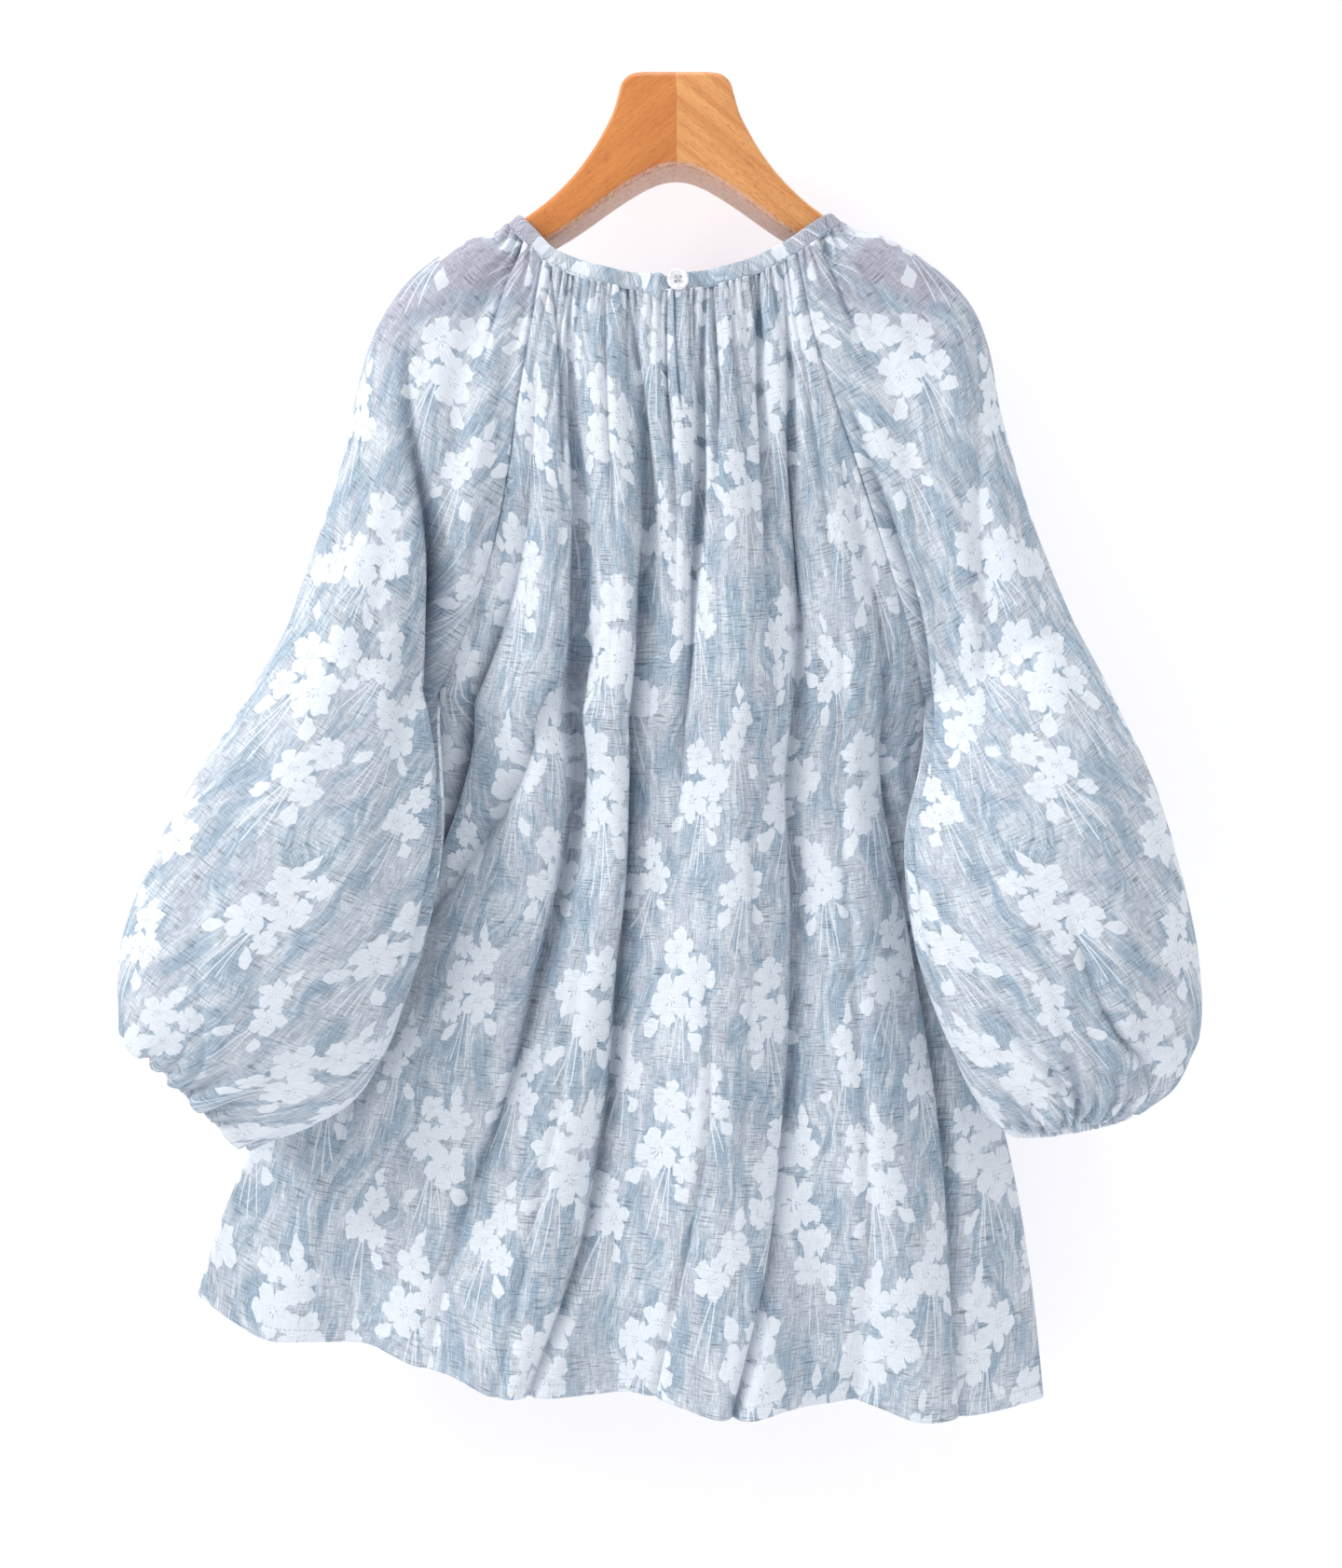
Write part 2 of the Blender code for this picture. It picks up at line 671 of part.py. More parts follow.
def button_loop(face, collection, thread):
    """A thread loop from the binding's right end, round the shank and back."""
    curve = bpy.data.curves.new("button_loop", "CURVE")
    curve.dimensions = "3D"
    curve.bevel_depth = LOOP_RADIUS * MM
    curve.bevel_resolution = 1
    curve.use_fill_caps = True
    line = neck_line()[0]
    length = np.concatenate([[0], np.cumsum(np.linalg.norm(np.diff(line, axis=0), axis=1))])
    end_x = np.interp(length[-1] - BUTTON_RADIUS, length, line[:, 0]) - 3 * SEAM_GAP
    reach = SHANK_RADIUS + LOOP_RADIUS + GLUE_GAP
    y = face[1] - LOOP_RADIUS - GLUE_GAP
    turns = np.radians(np.linspace(90, 270, 9))
    around = [(face[0] + reach * math.cos(turn), y, face[2] + reach * math.sin(turn))
              for turn in turns]
    ends = [(end_x, y + LOOP_SLANT, face[2] + side * reach) for side in (1, -1)]
    points = [ends[0]] + around + [ends[1]]
    spline = curve.splines.new("POLY")
    spline.points.add(len(points) - 1)
    for spot, point in zip(spline.points, points):
        spot.co = (*(np.array(point) * MM), 1.0)
    made = bpy.data.objects.new("button_loop", curve)
    curve.materials.append(thread)
    collection.objects.link(made)


def rounded_outline(half_height, half_depth, radius):
    """A rectangle with round corners, as (up, deep) pairs going round it once."""
    radius = min(radius, 0.98 * half_height, 0.98 * half_depth)
    outline = []
    for quarter, (up, deep) in enumerate(((1, 1), (-1, 1), (-1, -1), (1, -1))):
        for step in range(HANGER_ARC_STEPS):
            angle = math.radians(90 * (quarter + step / (HANGER_ARC_STEPS - 1)))
            outline.append(
                (
                    up * (half_height - radius) + radius * math.cos(angle),
                    deep * (half_depth - radius) + radius * math.sin(angle),
                )
            )
    return np.array(outline)


def hanger_half(name, mirror, collection, finish):
    """One half: rounded sections between the upper and lower edges, closed at both ends."""
    rings = []
    for _station, upper_x, upper_z, lower_x, lower_z, half_depth in HANGER.rows:
        upper = np.array([upper_x, 0.0, upper_z])
        lower = np.array([lower_x, 0.0, lower_z])
        across = (upper - lower) / 2
        half_height = np.linalg.norm(across)
        outline = rounded_outline(half_height, half_depth, HANGER_EDGE_RADIUS)
        ring = (upper + lower) / 2 + outline[:, :1] * across / half_height
        ring[:, 1] += outline[:, 1]
        rings.append(ring)
    points = np.stack(rings)
    points[0, :, 0] = GLUE_GAP / 2
    points[..., 0] *= mirror
    rows, columns = points.shape[:2]
    index = np.arange(rows * columns).reshape(rows, columns)
    index = np.concatenate([index, index[:, :1]], axis=1)
    faces = [
        (int(index[row, column]), int(index[row, column + 1]),
         int(index[row + 1, column + 1]), int(index[row + 1, column]))
        for row in range(rows - 1)
        for column in range(columns)
    ]
    faces.append(tuple(range(columns)))
    faces.append(tuple(range((rows - 1) * columns, rows * columns)))
    made = mesh_object(name, points.reshape(-1, 3), faces, collection, finish)
    made.data.set_sharp_from_angle(angle=SHARP_ANGLE)


def main():
    clear_scene()
    parts = new_collection("lantern_sleeve_blouse")
    cutters = new_collection("cutters")
    cloth = {name: material(name + "_cloth", COLOURS["cloth"], 0.85)
             for name in ("back", "front", "sleeve_left", "sleeve_right")}
    back_panel(parts, cloth["back"])
    front_panel(parts, cloth["front"])
    for side in ("left", "right"):
        sleeve(side, parts, cloth["sleeve_" + side])
        cuff(side, parts, material("cuff_cloth_" + side, COLOURS["binding"], 0.85))
    neck_binding(parts, material("binding_cloth", COLOURS["binding"], 0.85))
    button(parts, cutters, material("pearl_plastic", COLOURS["pearl"], 0.25),
           material("sewing_thread", COLOURS["thread"], 0.7))
    hanger_half("hanger_left", -1, parts, material("wood_left", COLOURS["wood_left"], 0.4))
    hanger_half("hanger_right", 1, parts, material("wood_right", COLOURS["wood_right"], 0.4))


main()
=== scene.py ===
"""Finish of a raglan lantern sleeve blouse on its two-piece wooden hanger.

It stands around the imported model: +Z up, +X to the right of someone who looks at the blouse's
back along +Y. Tables and shape functions work in millimetres, and each mesh is scaled to metres as
it is made. A cloth surface is a function of two shares: across (0 to 1 from left to right, or
round a sleeve from its back seam to its front seam) and down (0 at the neck, 1 at the hem or
cuff).
"""

import math
from collections import namedtuple
from functools import reduce

import bpy
import numpy as np
from bpy.props import FloatProperty, FloatVectorProperty, PointerProperty
from bpy.types import Operator, Panel, PropertyGroup
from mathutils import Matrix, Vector


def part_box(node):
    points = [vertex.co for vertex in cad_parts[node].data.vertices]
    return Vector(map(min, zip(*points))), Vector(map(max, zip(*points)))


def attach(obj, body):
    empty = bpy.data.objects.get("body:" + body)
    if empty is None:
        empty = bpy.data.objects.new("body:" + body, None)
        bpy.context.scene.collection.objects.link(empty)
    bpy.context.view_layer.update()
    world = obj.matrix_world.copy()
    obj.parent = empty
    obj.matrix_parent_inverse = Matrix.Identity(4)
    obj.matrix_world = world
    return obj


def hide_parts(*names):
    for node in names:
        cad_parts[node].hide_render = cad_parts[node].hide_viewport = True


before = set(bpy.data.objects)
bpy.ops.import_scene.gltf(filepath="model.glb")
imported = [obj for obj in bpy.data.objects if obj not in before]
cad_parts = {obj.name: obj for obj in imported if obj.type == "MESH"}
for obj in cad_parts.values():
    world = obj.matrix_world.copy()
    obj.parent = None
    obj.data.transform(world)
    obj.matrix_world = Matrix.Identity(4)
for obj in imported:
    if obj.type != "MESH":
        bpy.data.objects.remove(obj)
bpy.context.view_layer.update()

bl_info = {
    "name": "Lantern sleeve blouse",
    "version": (1, 0, 0),
    "blender": (4, 5, 0),
    "location": "3D View > Sidebar > Blouse",
    "description": "Cloth, print, stitches, button and hanger of a lantern sleeve blouse",
    "category": "Add Mesh",
}

MM = 0.001
SHARP_ANGLE = math.radians(50)


def tone(red, green, blue):
    """A display colour, 0 to 255 each, as the linear colour that shaders take."""
    channels = np.array([red, green, blue]) / 255
    linear = np.where(channels > 0.04045, ((channels + 0.055) / 1.055) ** 2.4, channels / 12.92)
    return (*linear.tolist(), 1.0)


# ---------------------------------------------------------------------------------------------
# Sizes shared with the solids, in millimetres
# ---------------------------------------------------------------------------------------------

BINDING_WIDTH = 9.0
BINDING_WALL = 2.2
SEAM_GAP = 0.35
CUFF_WIDTH = 6.0
BODY_UNDERARM = 0.39
SLEEVE_UNDERARM = 0.5
SLIT_PLACE = 0.522
SLIT_END = 0.1
SLIT_GAP = 0.15
BUTTON_RADIUS = 6.25


class Table:
    """Rows of named columns, read smoothly along the first column."""

    def __init__(self, columns, rows):
        self.columns = columns
        self.rows = np.array(rows, float)

    def at(self, name, place):
        """A column's value at each place, on a cubic curve through the rows."""
        stations = self.rows[:, 0]
        values = self.rows[:, self.columns.index(name)]
        slopes = np.gradient(values, stations)
        place = np.clip(place, stations[0], stations[-1])
        row = np.clip(np.searchsorted(stations, place, side="right") - 1, 0, len(stations) - 2)
        span = stations[row + 1] - stations[row]
        t = (place - stations[row]) / span
        start = (1 + 2 * t) * (1 - t) ** 2 * values[row]
        leave = t * (1 - t) ** 2 * span * slopes[row]
        end = t * t * (3 - 2 * t) * values[row + 1]
        reach = t * t * (t - 1) * span * slopes[row + 1]
        return start + leave + end + reach


# Raglan seams, from the neck binding down to the underarm
RAGLAN = Table(
    ("share", "left_x", "left_z", "right_x", "right_z", "back_y", "front_y"),
    (
        (0.00, -77, -111, 69, -107, -24, 24),
        (0.17, -84, -150, 78, -150, -25, 25),
        (0.34, -91, -191, 91, -192, -25, 25),
        (0.52, -97, -233, 106, -234, -22, 22),
        (0.70, -107, -277, 121, -277, -16, 17),
        (0.86, -122, -320, 136, -321, -8, 11),
        (1.00, -139, -358, 146, -361, 1.2, 2.8),
    ),
)

# Side seams, from the underarm down to the hem; they lie back behind the sleeves
SIDE_SEAM = Table(
    ("share", "left_x", "left_z", "left_y", "right_x", "right_z", "right_y"),
    (
        (0.00, -139, -358, 2, 146, -361, 2),
        (0.05, -139, -377, 9, 145.5, -380, 9),
        (0.12, -143, -403, 14, 148, -406, 14),
        (0.25, -157, -451, 17, 158, -457, 17),
        (0.40, -183, -502, 16, 171, -515, 16),
        (0.57, -214, -561, 13, 187, -587, 13),
        (0.74, -245, -616, 9, 201, -653, 8),
        (0.87, -265, -662, 5, 209, -709, 4),
        (1.00, -280, -709, 2, 215, -769, 2),
    ),
)

# How far each body panel sags below its side edges at the middle, and how far it stands out
BODY = Table(
    ("down", "back_sag", "front_sag", "back_out", "front_out"),
    (
        (0.00, 20, 62, 5, 4),
        (0.12, 20, 50, 7, 6),
        (0.25, 19, 36, 12, 10),
        (0.39, 18, 24, 34, 27),
        (0.55, 18, 20, 46, 22),
        (0.75, 19, 20, 44, 24),
        (1.00, 20, 22, 35, 31),
    ),
)

# Folds: the place across the panel and the depth in millimetres at five heights from top to hem,
# then the width as a share of the panel. A positive depth is a valley, a negative one a ridge.
FOLD_HEIGHTS = (0.0, 0.25, 0.5, 0.75, 1.0)
BACK_FOLDS = (
    ((0.10, 0.12, 0.13, 0.15, 0.19), (0, 1, 3, 6, 9), 0.050),
    ((0.13, 0.22, 0.295, 0.32, 0.30), (2, 8, 10, 7, 2), 0.055),
    ((0.35, 0.42, 0.456, 0.457, 0.488), (2, 7, 9, 10, 12), 0.060),
    ((0.64, 0.54, 0.53, 0.53, 0.53), (3, 5, 1, 0, 0), 0.045),
    ((0.83, 0.74, 0.72, 0.70, 0.756), (3, 9, 9, 8, 10), 0.050),
    ((0.93, 0.82, 0.81, 0.80, 0.80), (2, 6, 2, 0, 0), 0.040),
    ((0.97, 0.94, 0.92, 0.92, 0.91), (0, 0, 1, 2, 1), 0.040),
    ((0.08, 0.16, 0.20, 0.13, 0.10), (0, -3, -7, -6, -4), 0.055),
    ((0.25, 0.33, 0.37, 0.385, 0.367), (-1, -4, -5, -6, -8), 0.060),
    ((0.60, 0.63, 0.60, 0.59, 0.642), (-2, -4, -5, -7, -9), 0.070),
    ((0.90, 0.87, 0.84, 0.83, 0.858), (0, -2, -6, -7, -7), 0.050),
)
FRONT_FOLDS = (
    ((0.15, 0.17, 0.20, 0.20, 0.22), (1, 4, 6, 7, 8), 0.060),
    ((0.38, 0.36, 0.35, 0.36, 0.38), (2, 6, 7, 7, 8), 0.060),
    ((0.60, 0.58, 0.60, 0.62, 0.60), (2, 6, 8, 8, 9), 0.065),
    ((0.80, 0.80, 0.79, 0.78, 0.81), (1, 5, 6, 7, 8), 0.055),
    ((0.28, 0.27, 0.28, 0.28, 0.30), (-1, -3, -5, -6, -6), 0.060),
    ((0.50, 0.48, 0.48, 0.50, 0.49), (-1, -3, -5, -6, -7), 0.060),
    ((0.70, 0.69, 0.69, 0.70, 0.71), (-1, -3, -5, -5, -6), 0.060),
)

# The sleeves' outer silhouettes, with each turn's half depth, how square it is and how far its
# outer part comes towards the viewer
OUTER = Table(
    ("down", "left_x", "left_z", "right_x", "right_z", "depth", "square", "forward"),
    (
        (0.00, -98, -87.4, 97, -86.8, 24, 3.0, 0),
        (0.02, -104, -91.0, 103, -90.4, 24, 3.0, 0),
        (0.06, -122, -96, 123, -95.5, 25, 3.0, 0),
        (0.12, -149, -114.5, 151, -113.5, 26, 3.0, 0),
        (0.18, -166, -135, 170, -133, 27, 2.8, 0),
        (0.24, -178, -160, 180, -157, 29, 2.5, -1),
        (0.31, -187, -196, 187, -194, 32, 2.3, -2),
        (0.38, -196, -237, 198, -238, 34, 2.2, -5),
        (0.44, -208, -275, 211, -277, 35, 2.1, -8),
        (0.50, -222, -318, 228, -318, 36, 2.0, -11),
        (0.58, -243, -362, 248, -363, 39, 2.0, -11),
        (0.67, -272, -411, 268, -410, 43, 2.0, -7),
        (0.76, -297, -460, 282, -460, 46, 2.0, -2),
        (0.84, -310, -500, 291, -505, 47, 2.0, 0),
        (0.90, -312, -525, 293, -540, 45, 2.0, 0),
        (0.95, -310, -540, 288, -562, 37, 2.0, 0),
        (0.98, -306, -546, 276, -583, 27, 2.0, 0),
        (1.00, -302, -547, 256, -593, 20, 2.0, 0),
    ),
)

# The underarm lines of the closed lower sleeves
INNER = Table(
    ("down", "left_x", "left_z", "right_x", "right_z", "y"),
    (
        (0.50, -140, -358, 147, -361, 2),
        (0.54, -139.5, -375, 146.5, -378, -8),
        (0.60, -137, -402, 142, -404, -18),
        (0.67, -135, -438, 133, -438, -29),
        (0.76, -142, -490, 135, -490, -40),
        (0.84, -154, -530, 145, -530, -44),
        (0.90, -168, -565, 158, -562, -45),
        (0.95, -190, -593, 171, -588, -44),
        (0.98, -220, -607, 183, -602, -43),
        (1.00, -241, -610, 193, -605, -42),
    ),
)

# The right half of the hanger: its upper and lower edges and half its depth, from the glue line to
# the end of the arm
HANGER = Table(
    ("station", "upper_x", "upper_z", "lower_x", "lower_z", "half_depth"),
    (
        (0, 0.0, 0.0, 0.0, -55.0, 19.0),
        (1, 9.0, 0.0, 3.5, -55.2, 19.0),
        (2, 18.0, 0.0, 7.0, -55.8, 19.0),
        (3, 25.0, -0.9, 10.5, -56.8, 19.0),
        (4, 29.2, -3.4, 14.0, -58.2, 19.0),
        (5, 31.8, -7.2, 17.5, -59.8, 19.0),
        (6, 33.6, -13.5, 22.0, -62.3, 19.0),
        (7, 36.6, -23.5, 28.0, -65.9, 19.0),
        (8, 41.5, -33.5, 35.0, -70.6, 18.8),
        (9, 48.0, -44.5, 43.0, -76.3, 18.5),
        (10, 56.5, -56.0, 51.5, -82.6, 17.9),
        (11, 66.0, -66.3, 60.5, -88.9, 17.2),
        (12, 78.0, -76.6, 69.5, -94.6, 16.2),
        (13, 97.0, -89.4, 87.0, -105.8, 15.4),
        (14, 122.0, -102.8, 112.5, -118.7, 15.4),
        (15, 140.0, -112.2, 132.0, -127.6, 15.4),
        (16, 148.0, -117.2, 141.5, -131.0, 14.5),
        (17, 152.5, -121.4, 148.0, -132.0, 11.5),
        (18, 154.8, -126.0, 152.4, -131.0, 7.5),
    ),
)


# ---------------------------------------------------------------------------------------------
# What the finish adds to the solids, in millimetres
# ---------------------------------------------------------------------------------------------

# Cells across and down
BACK_CELLS = (320, 146)
FRONT_CELLS = (200, 180)
SLEEVE_CELLS = (250, 186)
CUFF_CELLS = (260, 10)
BINDING_CELLS = (420, 16)

# Cut widths of the flat cloth, wider than the hanging cloth where it is gathered
CUT_WIDTH = Table(
    ("down", "body", "sleeve"),
    (
        (0.00, 280, 180),
        (0.20, 350, 250),
        (0.40, 430, 325),
        (0.60, 500, 375),
        (0.80, 560, 400),
        (1.00, 620, 400),
    ),
)

# Cloth: finished lengths, and how far the sleeves' grain turns and from where. Then its grids: the
# places worked out for each turn of a sleeve, the columns close beside a seam, how near a line
# columns crowd, and the powers that crowd rows towards the neck and the cuffs.
BODY_LENGTH = 650.0
SLEEVE_LENGTH = 590.0
SLEEVE_TWIST = 120.0
SLEEVE_TWIST_START = 0.40
TURN_STEPS = 241
BESIDE_SEAM = (0, 0.0018, 0.0038, 0.0062)
BESIDE_SEAM_END = 0.0092
CROWD_REACH = 0.022
BODY_ROW_POWER = 1.15
SLEEVE_ROW_POWER = 1.25

# Hem: its depth, the heights of the grid rows in it, the dip along its stitches, and the gap
# between its two layers
HEM_DEPTH = 7.0
HEM_HEIGHTS = (6.6, 4.6, 2.6, 0.8, 0.0)
HEM_DIP = 0.35
HEM_DIP_WIDTH = 0.9
HEM_FOLD = 0.9

# Panels: squareness of the arch by which each sags, at the neck and how much more at the hem; that
# of the arch by which it stands out; and how squarely its folds end at the seams
SAG_SQUARENESS = {"back": (2.0, 2.0), "front": (2.6, 1.4)}
OUT_SQUARENESS = 2.5
FOLD_SQUARENESS = 24

# Seams: how deep and how wide the cloth dips in them, and how far off its folds are still calm
SEAM_GROOVE = 2.0
SEAM_GROOVE_WIDTH = 1.2
SEAM_CALM = 5.0

# Slit: the flat strips beside it, their stitches, the painted shade that makes a dark line down
# it, and the share of the body's length over which it closes
SLIT_STRIP = 6.5
SLIT_STRIP_EDGE = 0.8
SLIT_STRIP_LIFT = 0.5
SLIT_STRIP_FLAT = 0.85
SLIT_STRIP_BEYOND = 0.012
SLIT_DIP = 1.2
SLIT_DIP_WIDTH = 1.1
SLIT_STITCHES = 5.3
SLIT_SHADE = 3.2
SLIT_SHADE_WIDTH = 0.75
SLIT_FADE = 0.01

# Gathers: how many there are, how far they reach and how much of their depth the stitches leave.
# Then their width as a share of the seam, how far off the seam the stitches still hold them, and
# how much their spacing, depths, reaches and leans vary.
BODY_GATHERS = (34, 84.0, 0.55)
SLEEVE_GATHERS = (14, 80.0, 0.55)
CUFF_GATHERS = {"left": (14, 75.0, 0.6), "right": (26, 75.0, 0.6)}
GATHER_WIDTH = 0.17
GATHER_HELD = 3.5
GATHER_UNEVEN = 0.3
GATHER_DEPTHS = (0.45, 1.0)
GATHER_REACHES = (0.25, 1.0)
GATHER_LEAN = 0.25

# Small creases: how many there are, how much they lean, and their least and most size
BODY_CREASES = 260
SLEEVE_CREASES = 200
CREASE_LEAN = 0.30
CREASE_LENGTHS = (18, 60)
CREASE_WIDTHS = (3, 8)

# Seeds of the gathers and of the creases
BODY_SEEDS = {"back": (3, 4), "front": (5, 6)}
SLEEVE_SEEDS = {"left": (11, 13), "right": (17, 19)}
CUFF_SEEDS = {"left": 12, "right": 18}
BINDING_SEED = 23

# Painted shade in hollows: the depth of valley that counts as 1, the most that counts, and how
# much more the sleeves' grooves and the cuffs' gathers count
HOLLOW_DEPTH = 15.0
HOLLOW_LIMIT = 1.8
SLEEVE_HOLLOW = 1.3
CUFF_HOLLOW = 3.2

# Cuffs: wall, lap over the sleeve's end, squareness of the section and depth of its lobes
CUFF_WALL = 2.0
CUFF_LAP = 0.6
CUFF_SQUARENESS = 3.0
CUFF_LOBES = 0.8

# Binding: how far down the cloth its direction is read, the points over which its line and its
# direction are smoothed, squareness of its section, how far it stands out, its small unevenness,
# how far up and how deep its stitches lie, how far it laps over the cloth, and where its strip
# was cut
NECK_STEP = 0.01
LINE_SMOOTHING = 9
RISE_SMOOTHING = 25
BINDING_SQUARENESS = 4.5
BINDING_OUT = 0.5
BINDING_PUCKER = 0.06
BINDING_STITCHES = 0.9
BINDING_STITCHES_SUNK = 0.15
BINDING_OVERLAP = 1.2
BINDING_PLACE = (57.0, 22.0)

# Binding's left end, by distance along the neck: the narrow tab under the button, then the corner
# that hangs over the cloth, with its reach on either side
TAB_START = 1.0
TAB_LENGTH = 5.4
TAB_INSET = 1.6
TAB_TAPER = 2.0
TAB_DROP = 5.6
TAB_DROP_OUT = 0.42
TAB_DROP_PLACE = 9.0
TAB_DROP_REACH = (2.2, 4.8)
TAB_DROP_END = 19.0

# Button: its holes, the share of its depth at which the thread lies on it, and the thread, whose
# line ends beyond the holes, is arched into them, and lies higher where it crosses the other
BUTTON_FACE = 0.86
BUTTON_HOLE_RADIUS = 0.95
BUTTON_HOLE_REACH = 1.85
BUTTON_THREAD = 0.28
BUTTON_THREAD_POINTS = 15
BUTTON_THREAD_REACH = 1.25
BUTTON_THREAD_ARCH = 1.1
BUTTON_THREAD_OVER = 0.25

# Stitch: places along it from -1 to 1, and the share of the thread's radius there; how high it
# arches over the cloth and how deep it lies in it
STITCH_PLACES = np.array([-1.0, -0.72, 0.0, 0.72, 1.0])
STITCH_THICKNESS = np.array([0.35, 0.90, 1.0, 0.90, 0.35])
STITCH_ARCH = 0.30
STITCH_SUNK = 0.05
STITCH_SIDES = 6

# Hanger: glue line between its halves, the stations beside it and their number from there on,
# slope of its grain and points on each rounded corner
GLUE_LINE = 0.08
GLUE_STATIONS = (0, 0.04)
HANGER_START = 0.2
HANGER_STATIONS = 110
HANGER_GRAIN_SLOPE = math.radians(40)
CORNER_STEPS = 6

# Main creases of the sleeves: the place round the sleeve and the depth at five heights, then the
# width as a share of the turn. A positive depth is a valley, a negative one a ridge.
SLEEVE_FOLDS = {
    "left": (
        ((0.20, 0.16, 0.12, 0.10, 0.12), (2.0, 4.0, 7.0, 4.0, 1.5), 0.050),
        ((0.30, 0.27, 0.24, 0.22, 0.20), (0.5, 1.5, 2.5, 2.5, 1.5), 0.045),
        ((0.36, 0.36, 0.37, 0.35, 0.33), (0.0, 1.0, 2.0, 2.0, 2.5), 0.030),
        ((0.10, 0.09, 0.06, 0.05, 0.06), (-1.0, -2.0, -3.0, -2.0, -1.0), 0.040),
        ((0.62, 0.63, 0.64, 0.66, 0.66), (1.5, 3.0, 4.0, 4.0, 2.0), 0.050),
        ((0.80, 0.78, 0.78, 0.80, 0.82), (1.5, 4.0, 6.0, 3.0, 1.0), 0.050),
    ),
    "right": (
        ((0.18, 0.15, 0.12, 0.10, 0.12), (2.0, 4.0, 6.0, 4.0, 1.5), 0.050),
        ((0.28, 0.27, 0.27, 0.26, 0.22), (0.5, 2.0, 3.0, 2.0, 1.5), 0.045),
        ((0.40, 0.40, 0.40, 0.38, 0.34), (0.0, 1.0, 1.5, 2.5, 3.5), 0.030),
        ((0.08, 0.08, 0.06, 0.05, 0.06), (-1.0, -2.0, -3.0, -2.0, -1.0), 0.040),
        ((0.64, 0.64, 0.63, 0.65, 0.66), (1.5, 3.0, 4.0, 4.0, 2.0), 0.050),
        ((0.82, 0.80, 0.78, 0.80, 0.82), (1.5, 4.0, 6.0, 3.0, 1.0), 0.050),
    ),
}

# Narrow deep valleys where the cloth folds on itself: the place across the cloth and the depth at
# nine heights, then the widths in millimetres of the walls on the low and the high side. Three of
# the back's main ones lie left of its slit.
GROOVE_FULL = 0.25
GROOVE_HEIGHTS = (0.0, 0.08, 0.16, 0.28, 0.42, 0.58, 0.75, 0.90, 1.0)
LEFT_OF_SLIT = 3
BACK_GROOVES = (
    ((0.04, 0.05, 0.06, 0.070, 0.052, 0.032, 0.08, 0.12, 0.14),
     (0, 1, 3, 7, 17, 16, 6, 3, 0), 3.4, 4.2),
    ((0.10, 0.148, 0.182, 0.222, 0.276, 0.289, 0.292, 0.28, 0.277),
     (2, 6, 11, 16, 19, 17, 11, 5, 3), 2.6, 6.0),
    ((0.335, 0.39, 0.405, 0.404, 0.418, 0.43, 0.446, 0.44, 0.40),
     (2, 8, 13, 16, 17, 17, 15, 12, 9), 5.0, 2.6),
    ((0.642, 0.604, 0.566, 0.515, 0.50, 0.50, 0.50, 0.50, 0.50),
     (2, 8, 13, 12, 5, 0, 0, 0, 0), 3.8, 2.4),
    ((0.85, 0.80, 0.756, 0.70, 0.69, 0.67, 0.655, 0.62, 0.585),
     (4, 9, 9, 5, 0, 0, 0, 0, 0), 2.2, 3.2),
    ((0.945, 0.902, 0.836, 0.766, 0.725, 0.715, 0.694, 0.668, 0.63),
     (2, 8, 12, 13, 12, 11, 13, 11, 11), 2.6, 4.2),
    ((0.975, 0.97, 0.965, 0.95, 0.92, 0.926, 0.922, 0.904, 0.90),
     (0, 0, 1, 5, 10, 12, 13, 9, 5), 3.6, 2.8),
)
SHORT_GROOVES = (
    ((0.03, 0.115, 0.15, 0.17, 0.18, 0.18, 0.18, 0.18, 0.18),
     (3, 6, 4, 1, 0, 0, 0, 0, 0), 1.8, 3.0),
    ((0.24, 0.27, 0.29, 0.32, 0.34, 0.35, 0.37, 0.37, 0.36),
     (3, 5, 4, 2, 1, 2, 4, 4, 3), 2.0, 3.4),
    ((0.34, 0.34, 0.34, 0.30, 0.185, 0.075, 0.07, 0.07, 0.07),
     (0, 0, 0, 0, 10, 9, 2, 0, 0), 3.0, 8.0),
    ((0.489, 0.481, 0.476, 0.47, 0.47, 0.47, 0.47, 0.47, 0.47),
     (4, 8, 6, 1, 0, 0, 0, 0, 0), 1.6, 2.4),
    ((0.668, 0.655, 0.61, 0.58, 0.56, 0.56, 0.58, 0.56, 0.54),
     (4, 8, 4, 1, 0, 1, 4, 5, 4), 1.8, 2.8),
    ((0.75, 0.72, 0.70, 0.66, 0.63, 0.64, 0.63, 0.61, 0.60),
     (2, 5, 3, 1, 2, 3, 2, 0, 0), 1.8, 2.8),
    ((0.96, 0.95, 0.91, 0.86, 0.82, 0.81, 0.80, 0.79, 0.77),
     (0, 2, 4, 3, 2, 3, 4, 5, 6), 2.4, 4.0),
)
